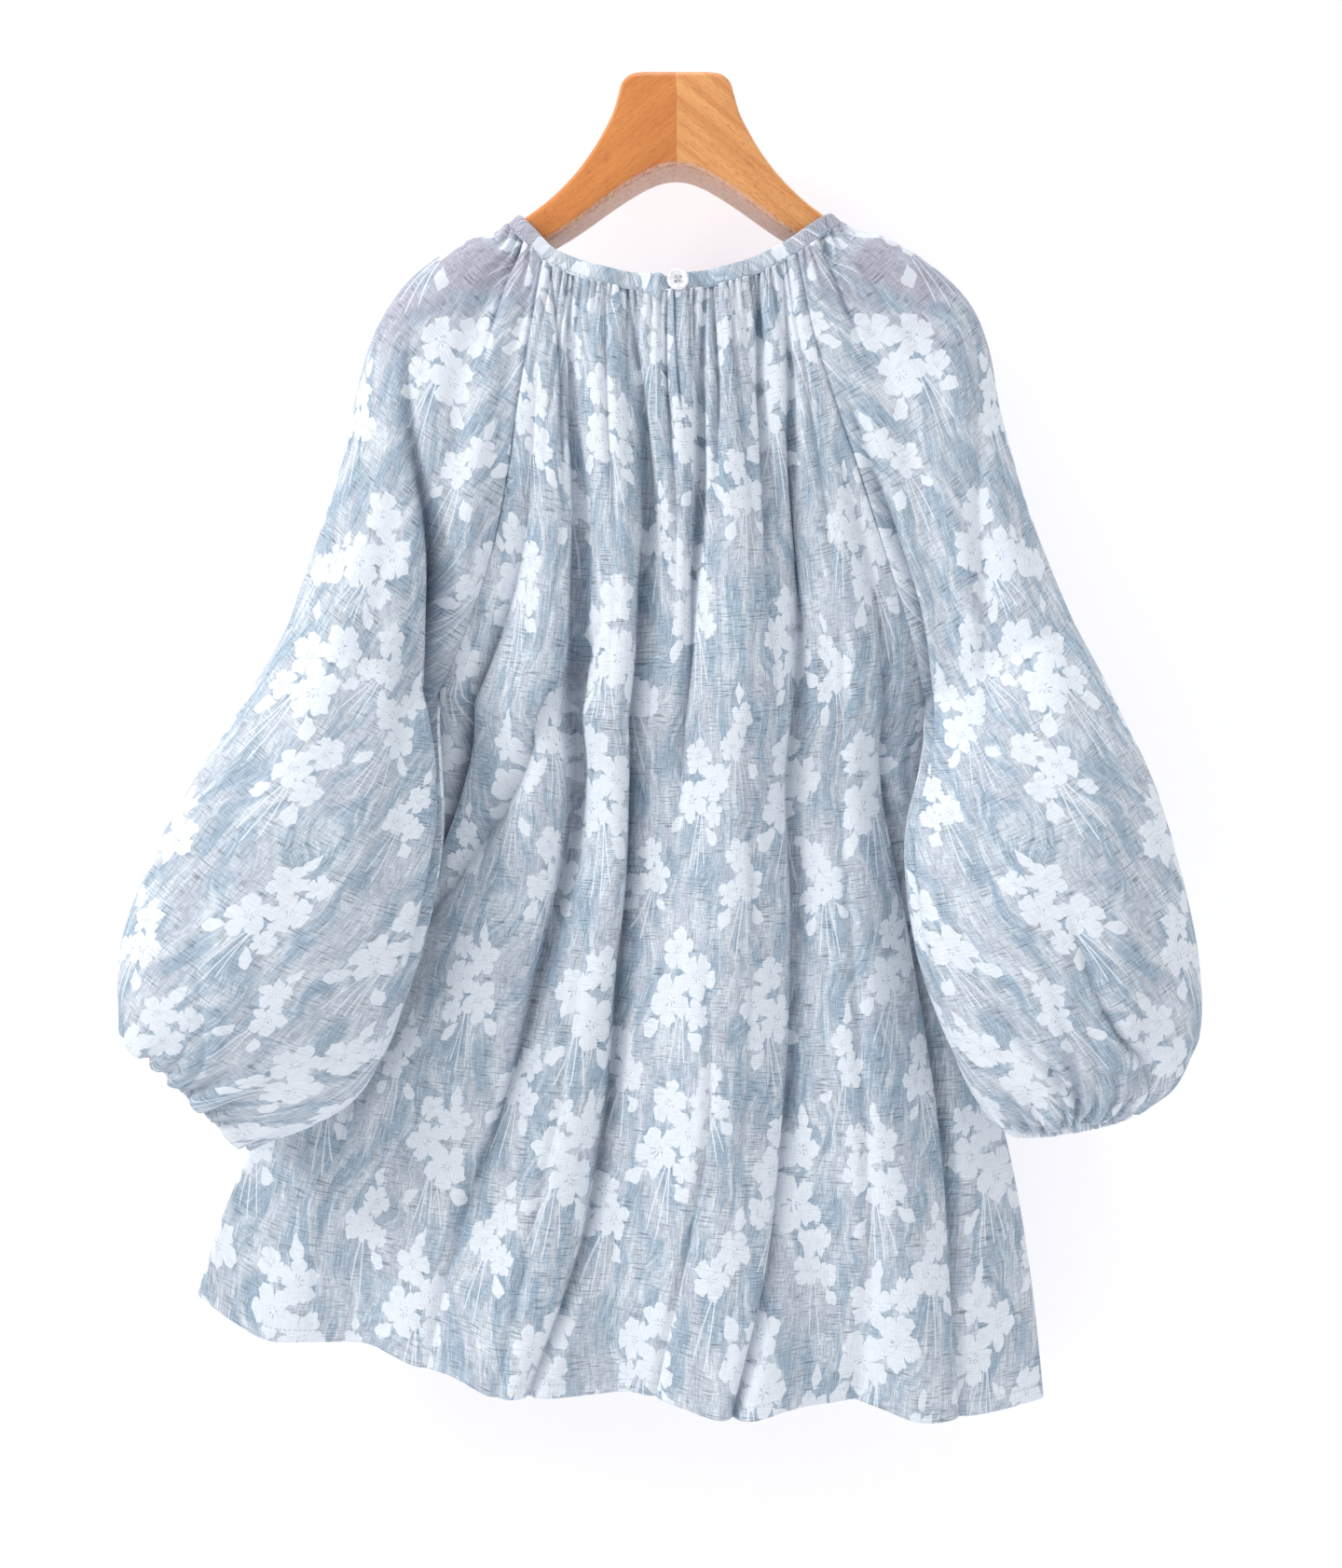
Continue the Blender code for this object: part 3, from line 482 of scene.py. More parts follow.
# The line that the slit's column keeps to; below the slit it makes way for the groove beside it
SLIT_COLUMN = (0.522, 0.522, 0.522, 0.490, 0.475, 0.475, 0.475, 0.475, 0.470)
SLEEVE_GROOVES = {
    "left": (
        ((0.36, 0.36, 0.35, 0.29, 0.118, 0.022, 0.03, 0.03, 0.03),
         (0, 0, 0, 9, 26, 22, 8, 0, 0), 12.0, 3.2),
        ((0.19, 0.14, 0.12, 0.10, 0.10, 0.10, 0.10, 0.10, 0.10),
         (3, 4, 1, 0, 0, 0, 0, 0, 0), 2.0, 3.0),
        ((0.40, 0.38, 0.37, 0.36, 0.36, 0.36, 0.36, 0.30, 0.26),
         (0, 0, 0, 0, 0, 0, 0, 3, 5), 3.0, 5.0),
    ),
    "right": (
        ((0.05, 0.05, 0.04, 0.035, 0.045, 0.03, 0.03, 0.03, 0.03),
         (0, 0, 1, 8, 16, 11, 4, 0, 0), 4.5, 4.0),
        ((0.168, 0.13, 0.12, 0.10, 0.10, 0.10, 0.10, 0.10, 0.10),
         (3, 4, 1, 0, 0, 0, 0, 0, 0), 2.0, 3.0),
        ((0.46, 0.45, 0.44, 0.38, 0.26, 0.17, 0.15, 0.15, 0.15),
         (0, 0, 1, 4, 5, 6, 4, 1, 0), 9.0, 9.0),
        ((0.24, 0.24, 0.24, 0.24, 0.24, 0.24, 0.26, 0.295, 0.42),
         (0, 0, 0, 0, 0, 0, 0, 7, 4), 2.0, 3.6),
        ((0.05, 0.05, 0.05, 0.05, 0.05, 0.05, 0.08, 0.15, 0.25),
         (0, 0, 0, 0, 0, 0, 0, 6, 4), 2.4, 4.5),
    ),
}

# How far the hem rises across the back, in millimetres
HEM_WAVES = Table(
    ("across", "rise"),
    (
        (0.00, 0), (0.04, -4), (0.09, -6), (0.13, -1), (0.17, 3), (0.21, 6), (0.26, 1),
        (0.31, -1), (0.35, -7), (0.41, -6), (0.47, -3), (0.52, 1.5), (0.57, -1), (0.61, -4.5),
        (0.65, -3), (0.70, 4), (0.74, 6), (0.78, 8), (0.81, 5), (0.84, 0), (0.90, -1), (1.00, 0),
    ),
)
HEM_WAVE_START = 0.80

# Beside its cuff a sleeve rolls over: how far it hangs down past the cuff, how far it puffs out,
# and how far from the cuff both are most
CUFF_OVERHANG = {"left": 6.5, "right": 2.6}
CUFF_PUFF = {"left": 2.5, "right": 0.6}
CUFF_ROLL = 4.0


# ---------------------------------------------------------------------------------------------
# Surfaces
# ---------------------------------------------------------------------------------------------


def bell(distance, width):
    """A bell curve: e to the power of minus the square of distance / width."""
    return np.exp(-((distance / width) ** 2))


def unit(vectors):
    """The vectors, each at length 1."""
    return vectors / np.linalg.norm(vectors, axis=-1, keepdims=True)


def round_angles(count):
    """Even angles once round."""
    return np.linspace(0, 2 * math.pi, count, endpoint=False)


def upright_circle(angle):
    """Places on a circle of radius 1 that faces along y."""
    return np.stack([np.cos(angle), 0 * angle, np.sin(angle)], axis=-1)


def read_line(wanted, length, values):
    """A line's three-part values at the wanted distances along it."""
    return np.stack([np.interp(wanted, length, values[:, axis]) for axis in range(3)], axis=-1)


def body_edge(down, side, panel):
    """Points on a panel's edge: down the raglan seam to the underarm, then down the side seam."""
    on_raglan = down < BODY_UNDERARM
    upper = down / BODY_UNDERARM
    lower = (down - BODY_UNDERARM) / (1 - BODY_UNDERARM)
    columns = (side + "_x", side + "_x"), (panel + "_y", side + "_y"), (side + "_z", side + "_z")
    axes = [
        np.where(on_raglan, RAGLAN.at(above, upper), SIDE_SEAM.at(below, lower))
        for above, below in columns
    ]
    return np.stack(axes, axis=-1)


def fold_line(heights, places, depths):
    """A fold's place across the cloth and its depth, down the cloth."""
    return Table(("height", "place", "depth"), tuple(zip(heights, places, depths)))


def fold_depth(across, down, folds):
    """The sum of the folds: each is a bell across the cloth, centred on its own line."""
    total = np.zeros_like(across)
    for places, depths, width in folds:
        line = fold_line(FOLD_HEIGHTS, places, depths)
        total += line.at("depth", down) * bell(across - line.at("place", down), width)
    return total


def groove_depth(across, down, wide, grooves):
    """The sum of the grooves, in millimetres. Each falls off as e to the power of minus
    |x / width| to 1.3, with its own width on either side of its line. They are half as wide at
    the neck as from GROOVE_FULL down; wide is the cloth's width."""
    total = np.zeros_like(across)
    spread = 0.5 + 0.5 * np.clip(down / GROOVE_FULL, 0, 1)
    for places, depths, low, high in grooves:
        line = fold_line(GROOVE_HEIGHTS, places, depths)
        away = (across - line.at("place", down)) * wide / spread
        away = np.abs(away / np.where(away < 0, low, high))
        total += line.at("depth", down) * np.exp(-(away**1.3))
    return total


def body_point(across, down, panel):
    """A body panel's middle surface: straight between its edges, then sagging in the middle by an
    arch that is squarer at the hem, standing out by a flatter arch, with the folds added."""
    folds, out = (BACK_FOLDS, -1) if panel == "back" else (FRONT_FOLDS, 1)
    left = body_edge(down, "left", panel)
    right = body_edge(down, "right", panel)
    point = left + (right - left) * across[..., None]
    off_middle = np.abs(2 * across - 1)
    at_neck, more = SAG_SQUARENESS[panel]
    sag = 1 - off_middle ** (at_neck + more * down)
    point[..., 2] -= BODY.at(panel + "_sag", down) * sag
    point[..., 1] += out * BODY.at(panel + "_out", down) * (1 - off_middle**OUT_SQUARENESS)
    point[..., 1] -= out * fold_depth(across, down, folds) * (1 - off_middle**FOLD_SQUARENESS)
    return point


def sleeve_turns(down, side):
    """Turns round the sleeve, one row for each value of down, from the back seam over the outer
    silhouette to the front seam. Each is a squared ellipse whose long axis runs from the seam to
    the silhouette: cosine and sine raised to 2 / square. Above the underarm a turn is open, and
    starts and ends where the ellipse reaches the raglan seams' depth."""
    above = down < SLEEVE_UNDERARM
    share = down / SLEEVE_UNDERARM

    def seam(column, inner_column):
        return np.where(above, RAGLAN.at(column, share), INNER.at(inner_column, down))

    seam_x, seam_z = (seam(side + axis, side + axis) for axis in ("_x", "_z"))
    back_y, front_y = seam("back_y", "y"), seam("front_y", "y")
    outer_x, outer_z, depth, square, forward = (
        OUTER.at(name, down)[:, None]
        for name in (side + "_x", side + "_z", "depth", "square", "forward")
    )
    reach = np.minimum(1.0, (front_y - back_y)[:, None] / 2 / depth)
    start = (1 - reach**square) ** (1 / square)
    turn = math.pi - np.arcsin(reach ** (square / 2))
    angle = turn * np.linspace(-1, 1, TURN_STEPS)
    along = np.sign(np.cos(angle)) * np.abs(np.cos(angle)) ** (2 / square)
    aside = np.sign(np.sin(angle)) * np.abs(np.sin(angle)) ** (2 / square)
    x = outer_x + (outer_x - seam_x[:, None]) / (1 + start) * (along - 1)
    z = outer_z + (outer_z - seam_z[:, None]) / (1 + start) * (along - 1)
    y = ((back_y + front_y) / 2)[:, None] + depth * aside + forward * (1 - (angle / turn) ** 2)
    return np.stack([x, y, z], axis=-1)


def lengths_along(lines):
    """The distance run along each row of points."""
    steps = np.linalg.norm(np.diff(lines, axis=-2), axis=-1)
    start = np.zeros((*steps.shape[:-1], 1))
    return np.concatenate([start, np.cumsum(steps, axis=-1)], axis=-1)


def even_turns(turns, across):
    """The points at the given shares of each row's length."""
    length = lengths_along(turns)
    return read_rows(across[None], length / length[:, -1:], turns)


def read_rows(wanted, known, points):
    """Each row's points at its wanted places, which are shares from 0 to 1. All rows are laid end
    to end, two apart, so that one interpolation serves them all."""
    offset = 2.0 * np.arange(len(known))[:, None]
    wanted, known = (wanted + offset).ravel(), (known + offset).ravel()
    axes = [np.interp(wanted, known, points[..., axis].ravel()) for axis in range(points.shape[-1])]
    return np.stack(axes, axis=-1).reshape(len(offset), -1, points.shape[-1])


def crowded(first, last, count, lines):
    """Shares from first to last, three times as close together beside the lines."""
    even = np.linspace(first, last, 1001)
    crowd = 1 + 2 * bell(even[:, None] - lines, CROWD_REACH).max(axis=-1)
    run = np.cumsum(crowd) - crowd[0]
    return np.interp(np.linspace(0, run[-1], count), run, even)


def back_columns(down):
    """The back's grid columns: each main groove, and the slit, keeps to one column all the way
    down. Columns stand close together beside them. They are laid out between the lines' mean
    places, and then moved with the lines at each height."""
    lines = [
        fold_line(GROOVE_HEIGHTS, places, depths).at("place", down)
        for places, depths, *_ in BACK_GROOVES
    ]
    slit = fold_line(GROOVE_HEIGHTS, SLIT_COLUMN, SLIT_COLUMN).at("place", down)
    ends = [np.full_like(down, end) for end in (0, BESIDE_SEAM_END, 1 - BESIDE_SEAM_END, 1)]
    before, after = lines[:LEFT_OF_SLIT], lines[LEFT_OF_SLIT:]
    lines = np.stack([*ends[:2], *before, slit, *after, *ends[2:]], axis=-1)
    rest = lines.mean(axis=0)
    middle = rest[2 + LEFT_OF_SLIT]
    half, beside = BACK_CELLS[0] // 2, len(BESIDE_SEAM)
    left = crowded(BESIDE_SEAM_END, middle, half - beside + 1, rest[2:-2])
    right = crowded(middle, 1 - BESIDE_SEAM_END, BACK_CELLS[0] - half - beside + 1, rest[2:-2])
    across = between_seams(left, right)
    rows = np.broadcast_to(rest, lines.shape)
    across = np.broadcast_to(across, (len(down), len(across)))
    return read_rows(across, rows, lines[..., None])[..., 0]


def between_seams(*inner):
    """Shares across, with the columns close beside both edges put before and after them."""
    return np.concatenate([BESIDE_SEAM, *inner, 1 - np.array(BESIDE_SEAM[::-1])])


def even_columns(cells):
    """Shares across, even but for the columns close beside both edges."""
    inner = cells + 1 - 2 * len(BESIDE_SEAM)
    return between_seams(np.linspace(BESIDE_SEAM_END, 1 - BESIDE_SEAM_END, inner))


def normals(points):
    """Unit normals of a grid of points, from the cross product of its two directions."""
    normal = np.cross(np.gradient(points, axis=1), np.gradient(points, axis=0))
    normal /= np.maximum(np.linalg.norm(normal, axis=-1, keepdims=True), 1e-9)
    return normal


def gathers(place, away, kind, depth, seed):
    """Valleys that run from a gathered seam: bells across it, unevenly spaced, which widen and
    fade with the distance away from it, each over its own reach. Beside the seam the stitches
    hold them to a share of their depth. kind gives their count, their reach and that share."""
    count, reach, left = kind
    draw = np.random.default_rng(seed)
    uneven = draw.uniform(-GATHER_UNEVEN, GATHER_UNEVEN, count)
    centres = (np.arange(count) + 0.5 + uneven) / count
    depths = depth * draw.uniform(*GATHER_DEPTHS, count)
    reaches = reach * draw.uniform(*GATHER_REACHES, count) ** 1.5
    leans = draw.normal(0, GATHER_LEAN, count) / count
    total = np.zeros_like(place)
    for centre, deep, far, lean in zip(centres, depths, reaches, leans):
        width = GATHER_WIDTH / count * (1 + away / far)
        off = (place - centre - lean * away / far) / width
        total -= deep * np.exp(-off * off - (away / far) ** 1.6)
    return total * (1 - (1 - left) * np.exp(-away / GATHER_HELD))


def creases(flat, count, depth, seed):
    """Short soft creases strewn over the flat cloth: each is a bell whose length runs roughly down
    the cloth and is several times its width."""
    u, v = flat[..., 0], flat[..., 1]
    draw = np.random.default_rng(seed)
    total = np.zeros_like(u)
    low_u, high_u, low_v, high_v = u.min(), u.max(), v.min(), v.max()
    for _ in range(count):
        middle_u, middle_v = draw.uniform(low_u, high_u), draw.uniform(low_v, high_v)
        lean = draw.normal(0, CREASE_LEAN)
        length, width = draw.uniform(*CREASE_LENGTHS), draw.uniform(*CREASE_WIDTHS)
        height = depth * draw.uniform(-1, 1)
        along = (v - middle_v) * math.cos(lean) + (u - middle_u) * math.sin(lean)
        aside = (u - middle_u) * math.cos(lean) - (v - middle_v) * math.sin(lean)
        total += height * np.exp(-((along / length) ** 2) - (aside / width) ** 2)
    return total


# A grid of finished cloth: its points, outward normals, places on the flat cloth, shares across
# and down, and how much painted shade each point takes inside a narrow valley, from 0 upwards
Surface = namedtuple("Surface", "points facing flat across down hollow")


def hollows(valleys, gathered):
    """How much painted shade cloth takes inside narrow valleys: the depth of its grooves as a share
    of
    HOLLOW_DEPTH, to the power of 1.5, with the depth of its gathers as a share added."""
    deep = np.clip(valleys / HOLLOW_DEPTH, 0, HOLLOW_LIMIT) ** 1.5
    return deep + np.clip(-gathered / HOLLOW_DEPTH, 0, 1)


def beside_seam(distance):
    """How far cloth stands out beside a seam: one less a bell of the distance from it."""
    return SEAM_GROOVE * (1 - bell(distance, SEAM_GROOVE_WIDTH))


# ---------------------------------------------------------------------------------------------
# Meshes
# ---------------------------------------------------------------------------------------------


def grid_corners(rows, columns):
    """The four grid places of each cell, in order round it."""
    place = np.arange(rows * columns).reshape(rows, columns)
    corners = (place[:-1, :-1], place[:-1, 1:], place[1:, 1:], place[1:, :-1])
    return np.stack(corners, axis=-1)


def new_piece(name, points, faces, finish, nodes=(), uv=None):
    """An object at the origin from points in millimetres, which rides on the model's one body and
    stands for the named solids. uv holds one place on the flat cloth for each face corner."""
    mesh = bpy.data.meshes.new(name)
    mesh.from_pydata((points * MM).tolist(), [], faces)
    mesh.shade_smooth()
    mesh.materials.append(finish)
    if uv is not None:
        layer = mesh.uv_layers.new(name="Cut")
        layer.data.foreach_set("uv", (uv * MM).astype(np.float32).ravel())
    piece = bpy.data.objects.new(name, mesh)
    bpy.context.scene.collection.objects.link(piece)
    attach(piece, "root")
    if nodes:
        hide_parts(*nodes)
    return piece


def cloth_sheet(name, points, uv, hollow, finish, node, wall, flipped, joined, left_out=None):
    """A sheet of cloth from a grid of points. joined gives the grid place whose point each place
    shares, and left_out is the column of cells that isn't made."""
    rows, columns = points.shape[:2]
    corners = grid_corners(rows, columns)
    if left_out is not None:
        corners = np.delete(corners, left_out, axis=1)
    corners = corners.reshape(-1, 4)
    if flipped:
        corners = corners[:, ::-1]
    used, faces = np.unique(joined.ravel()[corners], return_inverse=True)
    faces = faces.reshape(-1, 4).tolist()
    places = uv.reshape(-1, 2)[corners]
    sheet = new_piece(
        name, points.reshape(-1, 3)[used], faces, finish, [node], places
    )
    # The attribute carries the painted shade that darkens the cloth's colour in valleys and gathers
    layer = sheet.data.attributes.new("hollow", "FLOAT", "POINT")
    layer.data.foreach_set("value", hollow.ravel()[used].astype(np.float32))
    solid = sheet.modifiers.new("Cloth", "SOLIDIFY")
    solid.thickness = wall
    solid.offset = 0.0


def tube(name, rings, finish, nodes=(), uv=None, endless=False):
    """A closed skin over rings of points. It either runs back into itself or has flat ends. Faces
    are turned over if the volume that they enclose comes out negative."""
    rows, around = rings.shape[:2]
    place = np.arange(rows * around).reshape(rows, around)
    place = np.concatenate([place, place[:, :1]], axis=1)
    if endless:
        place = np.concatenate([place, place[:1]])
    corners = grid_corners(*place.shape).reshape(-1, 4)
    quads = place.ravel()[corners]
    points = rings.reshape(-1, 3)
    a, b, c, d = (points[quads[:, corner]] for corner in range(4))
    inside_out = np.sum(np.cross(c - a, d - b) * (a + b + c + d)) < 0
    ends = [] if endless else [place[0, :-1][::-1], place[-1, :-1]]
    places = None
    if inside_out:
        quads, corners = quads[:, ::-1], corners[:, ::-1]
        ends = [end[::-1] for end in ends]
    if uv is not None:
        places = uv.reshape(-1, 2)[corners].reshape(-1, 2)
        flat = uv[:rows, :-1].reshape(-1, 2)
        places = np.concatenate([places] + [flat[end] for end in ends])
    faces = quads.tolist() + [end.tolist() for end in ends]
    return new_piece(name, points, faces, finish, nodes, places)


# ---------------------------------------------------------------------------------------------
# Shader building
# ---------------------------------------------------------------------------------------------


def plug(tree, socket, value):
    """Links a field or a socket to a socket, or sets a plain value on it."""
    if isinstance(value, Field):
        value = value.socket
    if isinstance(value, bpy.types.NodeSocket):
        tree.links.new(value, socket)
    else:
        socket.default_value = value


def new_node(tree, kind, inputs=(), **settings):
    """A shader node with the given settings and inputs: a row of values for its first sockets, or
    values by the sockets' names or numbers."""
    node = tree.nodes.new("ShaderNode" + kind)
    for name, value in settings.items():
        setattr(node, name, value)
    for socket, value in inputs.items() if isinstance(inputs, dict) else enumerate(inputs):
        plug(tree, node.inputs[socket], value)
    return node


class Field:
    """A number worked out by the shader. Python's operators on it make Math nodes."""

    def __init__(self, tree, socket):
        self.tree = tree
        self.socket = socket

    def math(self, operation, *others, clamp=False):
        """One Math node on this field and the others, which are fields or numbers."""
        node = new_node(self.tree, "Math", (self, *others), operation=operation, use_clamp=clamp)
        return Field(self.tree, node.outputs[0])

    def __add__(self, other):
        return self.math("ADD", other)

    def __sub__(self, other):
        return self.math("SUBTRACT", other)

    def __rsub__(self, other):
        return self.math("MULTIPLY_ADD", -1.0, other)

    def __mul__(self, other):
        return self.math("MULTIPLY", other)

    def __pow__(self, other):
        return self.math("POWER", other)

    def __abs__(self):
        return self.math("ABSOLUTE")

    __radd__ = __add__
    __rmul__ = __mul__

    def over(self, factor, base):
        """This field times factor, plus base, in one node."""
        return self.math("MULTIPLY_ADD", factor, base)

    def most(self, other):
        return self.math("MAXIMUM", other)

    def least(self, other):
        return self.math("MINIMUM", other)

    def step(self, low, high):
        """0 below low, 1 above high, and straight between."""
        return self.math("MULTIPLY_ADD", 1 / (high - low), -low / (high - low), clamp=True)


def vector_math(tree, operation, *values):
    """One Vector Math node; scale comes last where the operation has one."""
    sockets = (0, "Scale") if operation == "SCALE" else (0, 1)
    node = new_node(tree, "VectorMath", dict(zip(sockets, values)), operation=operation)
    return node.outputs["Value" if operation == "LENGTH" else "Vector"]


def mapped(tree, vector, location=(0, 0, 0), turn=0.0, scale=(1, 1, 1), kind="POINT", axis=2):
    """A Mapping node. Of kind TEXTURE, it gives places in a frame that lies at location, turned
    and with the given size."""
    inputs = {"Vector": vector, "Location": location, "Scale": scale}
    node = new_node(tree, "Mapping", inputs, vector_type=kind)
    node.inputs["Rotation"].default_value[axis] = turn
    return node.outputs["Vector"]


def parts_of(tree, vector):
    """The vector's x, y and z as fields."""
    return [Field(tree, socket) for socket in new_node(tree, "SeparateXYZ", (vector,)).outputs]


def noise(tree, vector, stretch, detail=1.0, flat=True):
    """Noise whose grains have the given lengths along x, y and z, in the vector's units."""
    place = mapped(tree, vector, scale=tuple(1 / length for length in stretch))
    inputs = {"Vector": place, "Scale": 1.0, "Detail": detail}
    return new_node(tree, "TexNoise", inputs, noise_dimensions="2D" if flat else "3D")


def noise_field(tree, vector, stretch, detail=1.0, flat=True):
    return Field(tree, noise(tree, vector, stretch, detail, flat).outputs[0])


def mixed(tree, share, first, second, blend="MIX"):
    """A colour between first and second."""
    inputs = {0: share, 6: first, 7: second}
    return new_node(tree, "Mix", inputs, data_type="RGBA", blend_type=blend).outputs[2]


def mixed_shaders(tree, share, first, second):
    """A shader between first and second."""
    return new_node(tree, "MixShader", (share, first, second)).outputs[0]


def new_material(name, settings):
    """A Principled material with the given settings: the material, its tree and its shader."""
    made = bpy.data.materials.new(name)
    made.use_nodes = True
    shader = made.node_tree.nodes["Principled BSDF"]
    for socket, value in settings.items():
        shader.inputs[socket].default_value = value
    return made, made.node_tree, shader


# ---------------------------------------------------------------------------------------------
# Printed cloth
# ---------------------------------------------------------------------------------------------

# How far the print's edges wander, in millimetres, and how much of its red, green and blue the
# cloth loses to painted shade in a narrow valley
PRINT_WOBBLE = 2.8
PAINTED_SHADE_DARKENING = (0.25, 0.235, 0.205)

# Where the cloth takes a painted see-through shade of the hanger's arms, in millimetres: how fast
# their middle lines fall and from what height, and where the painted shade starts and is full,
# beside the lines and at their ends
ARM_SLOPE = 0.42
ARM_HEIGHT = -61.0
ARM_EDGE = (52.0, 14.0)
ARM_INNER_END = (60.0, 84.0)
ARM_OUTER_END = (205.0, 150.0)

# Bunches of blossom, in millimetres: the cell that each has to itself, how far the cells are
# moved, blossoms (x, y, radius, turn), leaves (x, y, length, width, turn) and stems (x, y, length,
# turn, bend). Each row ends with the share of the bunches that leave its shape out.
CELL = (83.0, 107.0)
PETALS = 5
FULL_BUNCH = {
    "moved": (0.0, 0.0),
    "blossoms": (
        (-6.0, 20.5, 13.6, 0.3, 0.0),
        (11.5, 5.0, 14.4, 1.1, 0.0),
        (-8.0, -9.5, 16.2, 2.2, 0.0),
        (13.5, 27.5, 9.4, 0.8, 0.55),
        (14.0, -17.5, 9.2, 1.9, 0.6),
    ),
    "leaves": (
        (-20.5, -26.5, 17.5, 9.0, 0.75, 0.0),
        (13.5, -31.5, 15.5, 8.6, 2.40, 0.3),
        (-3.5, 38.5, 15.0, 7.6, 1.45, 0.4),
    ),
    "stems": (
        (-2.0, -37.0, 44.0, 1.45, 0.03, 0.0),
        (2.5, -36.0, 52.0, 1.58, -0.02, 0.0),
        (6.0, -33.0, 40.0, 1.74, 0.03, 0.0),
        (-8.0, -34.0, 34.0, 1.25, 0.04, 0.4),
    ),
}
SMALL_BUNCH = {
    "moved": (41.0, 51.0),
    "blossoms": (
        (-3.5, 12.5, 10.8, 0.7, 0.0),
        (6.0, -3.0, 12.0, 1.7, 0.0),
        (-9.5, -9.0, 8.8, 0.1, 0.5),
    ),
    "leaves": (
        (-11.5, -22.5, 14.0, 7.8, 0.95, 0.0),
        (12.0, -20.5, 13.0, 7.0, 2.25, 0.45),
        (-2.5, 29.0, 13.0, 6.6, 1.6, 0.35),
    ),
    "stems": (
        (0.0, -29.0, 40.0, 1.50, 0.03, 0.0),
        (4.5, -27.0, 35.0, 1.68, -0.03, 0.0),
        (-4.5, -27.0, 30.0, 1.33, 0.03, 0.5),
    ),
}


def only_some(shape, chance, rarity):
    """Takes a shape out where the bunch's own random number is below rarity."""
    return shape.least((chance - rarity) * 400) if rarity else shape


def blossom(tree, place, x, y, radius, turn):
    """How far inside a blossom a place lies, in millimetres, and its grey marks. Its outline is a
    circle cut back between the petals: the cosine of the angle times half the petals, raised to a
    small power, with a notch at each petal's tip. The marks are broken rays at the middle and
    broken lines between the petals."""
    scale = (radius, radius, 1)
    local = mapped(tree, place, (x, y, 0), turn, scale, "TEXTURE")
    across, up, _ = parts_of(tree, local)
    distance = Field(tree, vector_math(tree, "LENGTH", local))
    angle = up.math("ARCTAN2", across)
    petal = abs((angle * (PETALS / 2)).math("COSINE"))
    notch = (angle * (3 * PETALS)).math("COSINE")
    edge = (petal**0.5).over(0.46, notch.over(0.032, 0.51))
    inside = (edge - distance) * radius
    ray = (angle * 7.0).math("COSINE").step(0.45, 0.75) * distance.step(0.27, 0.20)
    ray = ray * distance.step(0.05, 0.09)
    gap = (petal * distance).step(0.050, 0.020) * distance.step(0.40, 0.55)
    broken = noise_field(tree, local, (0.20, 0.20, 1), 1.0).step(0.44, 0.56)
    return inside, (ray * 0.9).most(gap * 0.35) * broken


def leaf(tree, place, x, y, length, width, turn):
    """How far inside a leaf a place lies: its half width is (1 - t²)(1 - 0.45 t) of the leaf's,
    for t from -1 to 1 along it."""
    half = length / 2
    local = mapped(tree, place, (x, y, 0), turn, (half, half, 1), "TEXTURE")
    along, aside, _ = parts_of(tree, local)
    body = (along * along).math("MULTIPLY_ADD", -1.0, 1.0)
    taper = along.over(-0.45, 1.0)
    edge = (body * taper).over(width / length, abs(aside) * -1.0)
    return edge.least(abs(along).over(-1.0, 1.0)) * half


def stem(tree, place, x, y, length, turn, bend):
    """How far inside a stem a place lies: a line bent by (1 - t²) that thins to its ends."""
    half = length / 2
    local = mapped(tree, place, (x, y, 0), turn, (half, half, 1), "TEXTURE")
    along, aside, _ = parts_of(tree, local)
    arch = (along * along).math("MULTIPLY_ADD", -1.0, 1.0)
    off = abs(aside - arch * bend) * half
    return (arch * 1.6).least(0.50) - off


def bunches(tree, place, shift, kind):
    """White and grey shares of one kind of bunch, strewn on the cloth: one bunch for each cell of a
    loosened lattice, each with its own lean, side and size. The shift makes the blossoms' and
    leaves' edges uneven, and leaves the stems straight."""
    width, height = CELL
    moved = mapped(tree, place, location=(*kind["moved"], 0))
    spread = vector_math(tree, "DIVIDE", moved, (width, height, 1))
    cells = new_node(
        tree, "TexVoronoi", {"Vector": spread, "Scale": 1.0, "Randomness": 0.34},
        voronoi_dimensions="2D", feature="F1",
    )
    local = vector_math(tree, "SUBTRACT", spread, cells.outputs["Position"])
    local = vector_math(tree, "MULTIPLY", local, (width, height, 0))
    chances = new_node(tree, "SeparateColor", (cells.outputs["Color"],))
    lean, side, size = (Field(tree, socket) for socket in chances.outputs)
    inputs = {"Vector": local, "Angle": lean.over(0.5, -0.25)}
    turned = new_node(tree, "VectorRotate", inputs, rotation_type="Z_AXIS")
    grown = size.over(-0.30, 1.16)
    mirror = new_node(tree, "CombineXYZ", ((side - 0.5).math("SIGN") * grown, grown))
    straight = vector_math(tree, "MULTIPLY", turned.outputs[0], mirror.outputs[0])
    local = vector_math(tree, "ADD", straight, shift)
    shapes, marks = [], []
    chance = (side * 7.31 + lean * 3.17).math("FRACT")
    for number, (*sizes, rarity) in enumerate(kind["blossoms"]):
        inside, mark = blossom(tree, local, *sizes)
        own = (chance + number * 0.37).math("FRACT")
        inside = only_some(inside, own, rarity)
        shapes.append(inside)
        marks.append(mark * inside.step(0.0, 0.4))
    for name, shape, at, stride in (("leaves", leaf, local, 0.53), ("stems", stem, straight, 0.29)):
        for number, (*sizes, rarity) in enumerate(kind[name]):
            own = (chance + number * stride).math("FRACT")
            shapes.append(only_some(shape(tree, at, *sizes), own, rarity))
    white, grey = reduce(Field.most, shapes), reduce(Field.most, marks)
    return white.step(-0.18, 0.30), grey


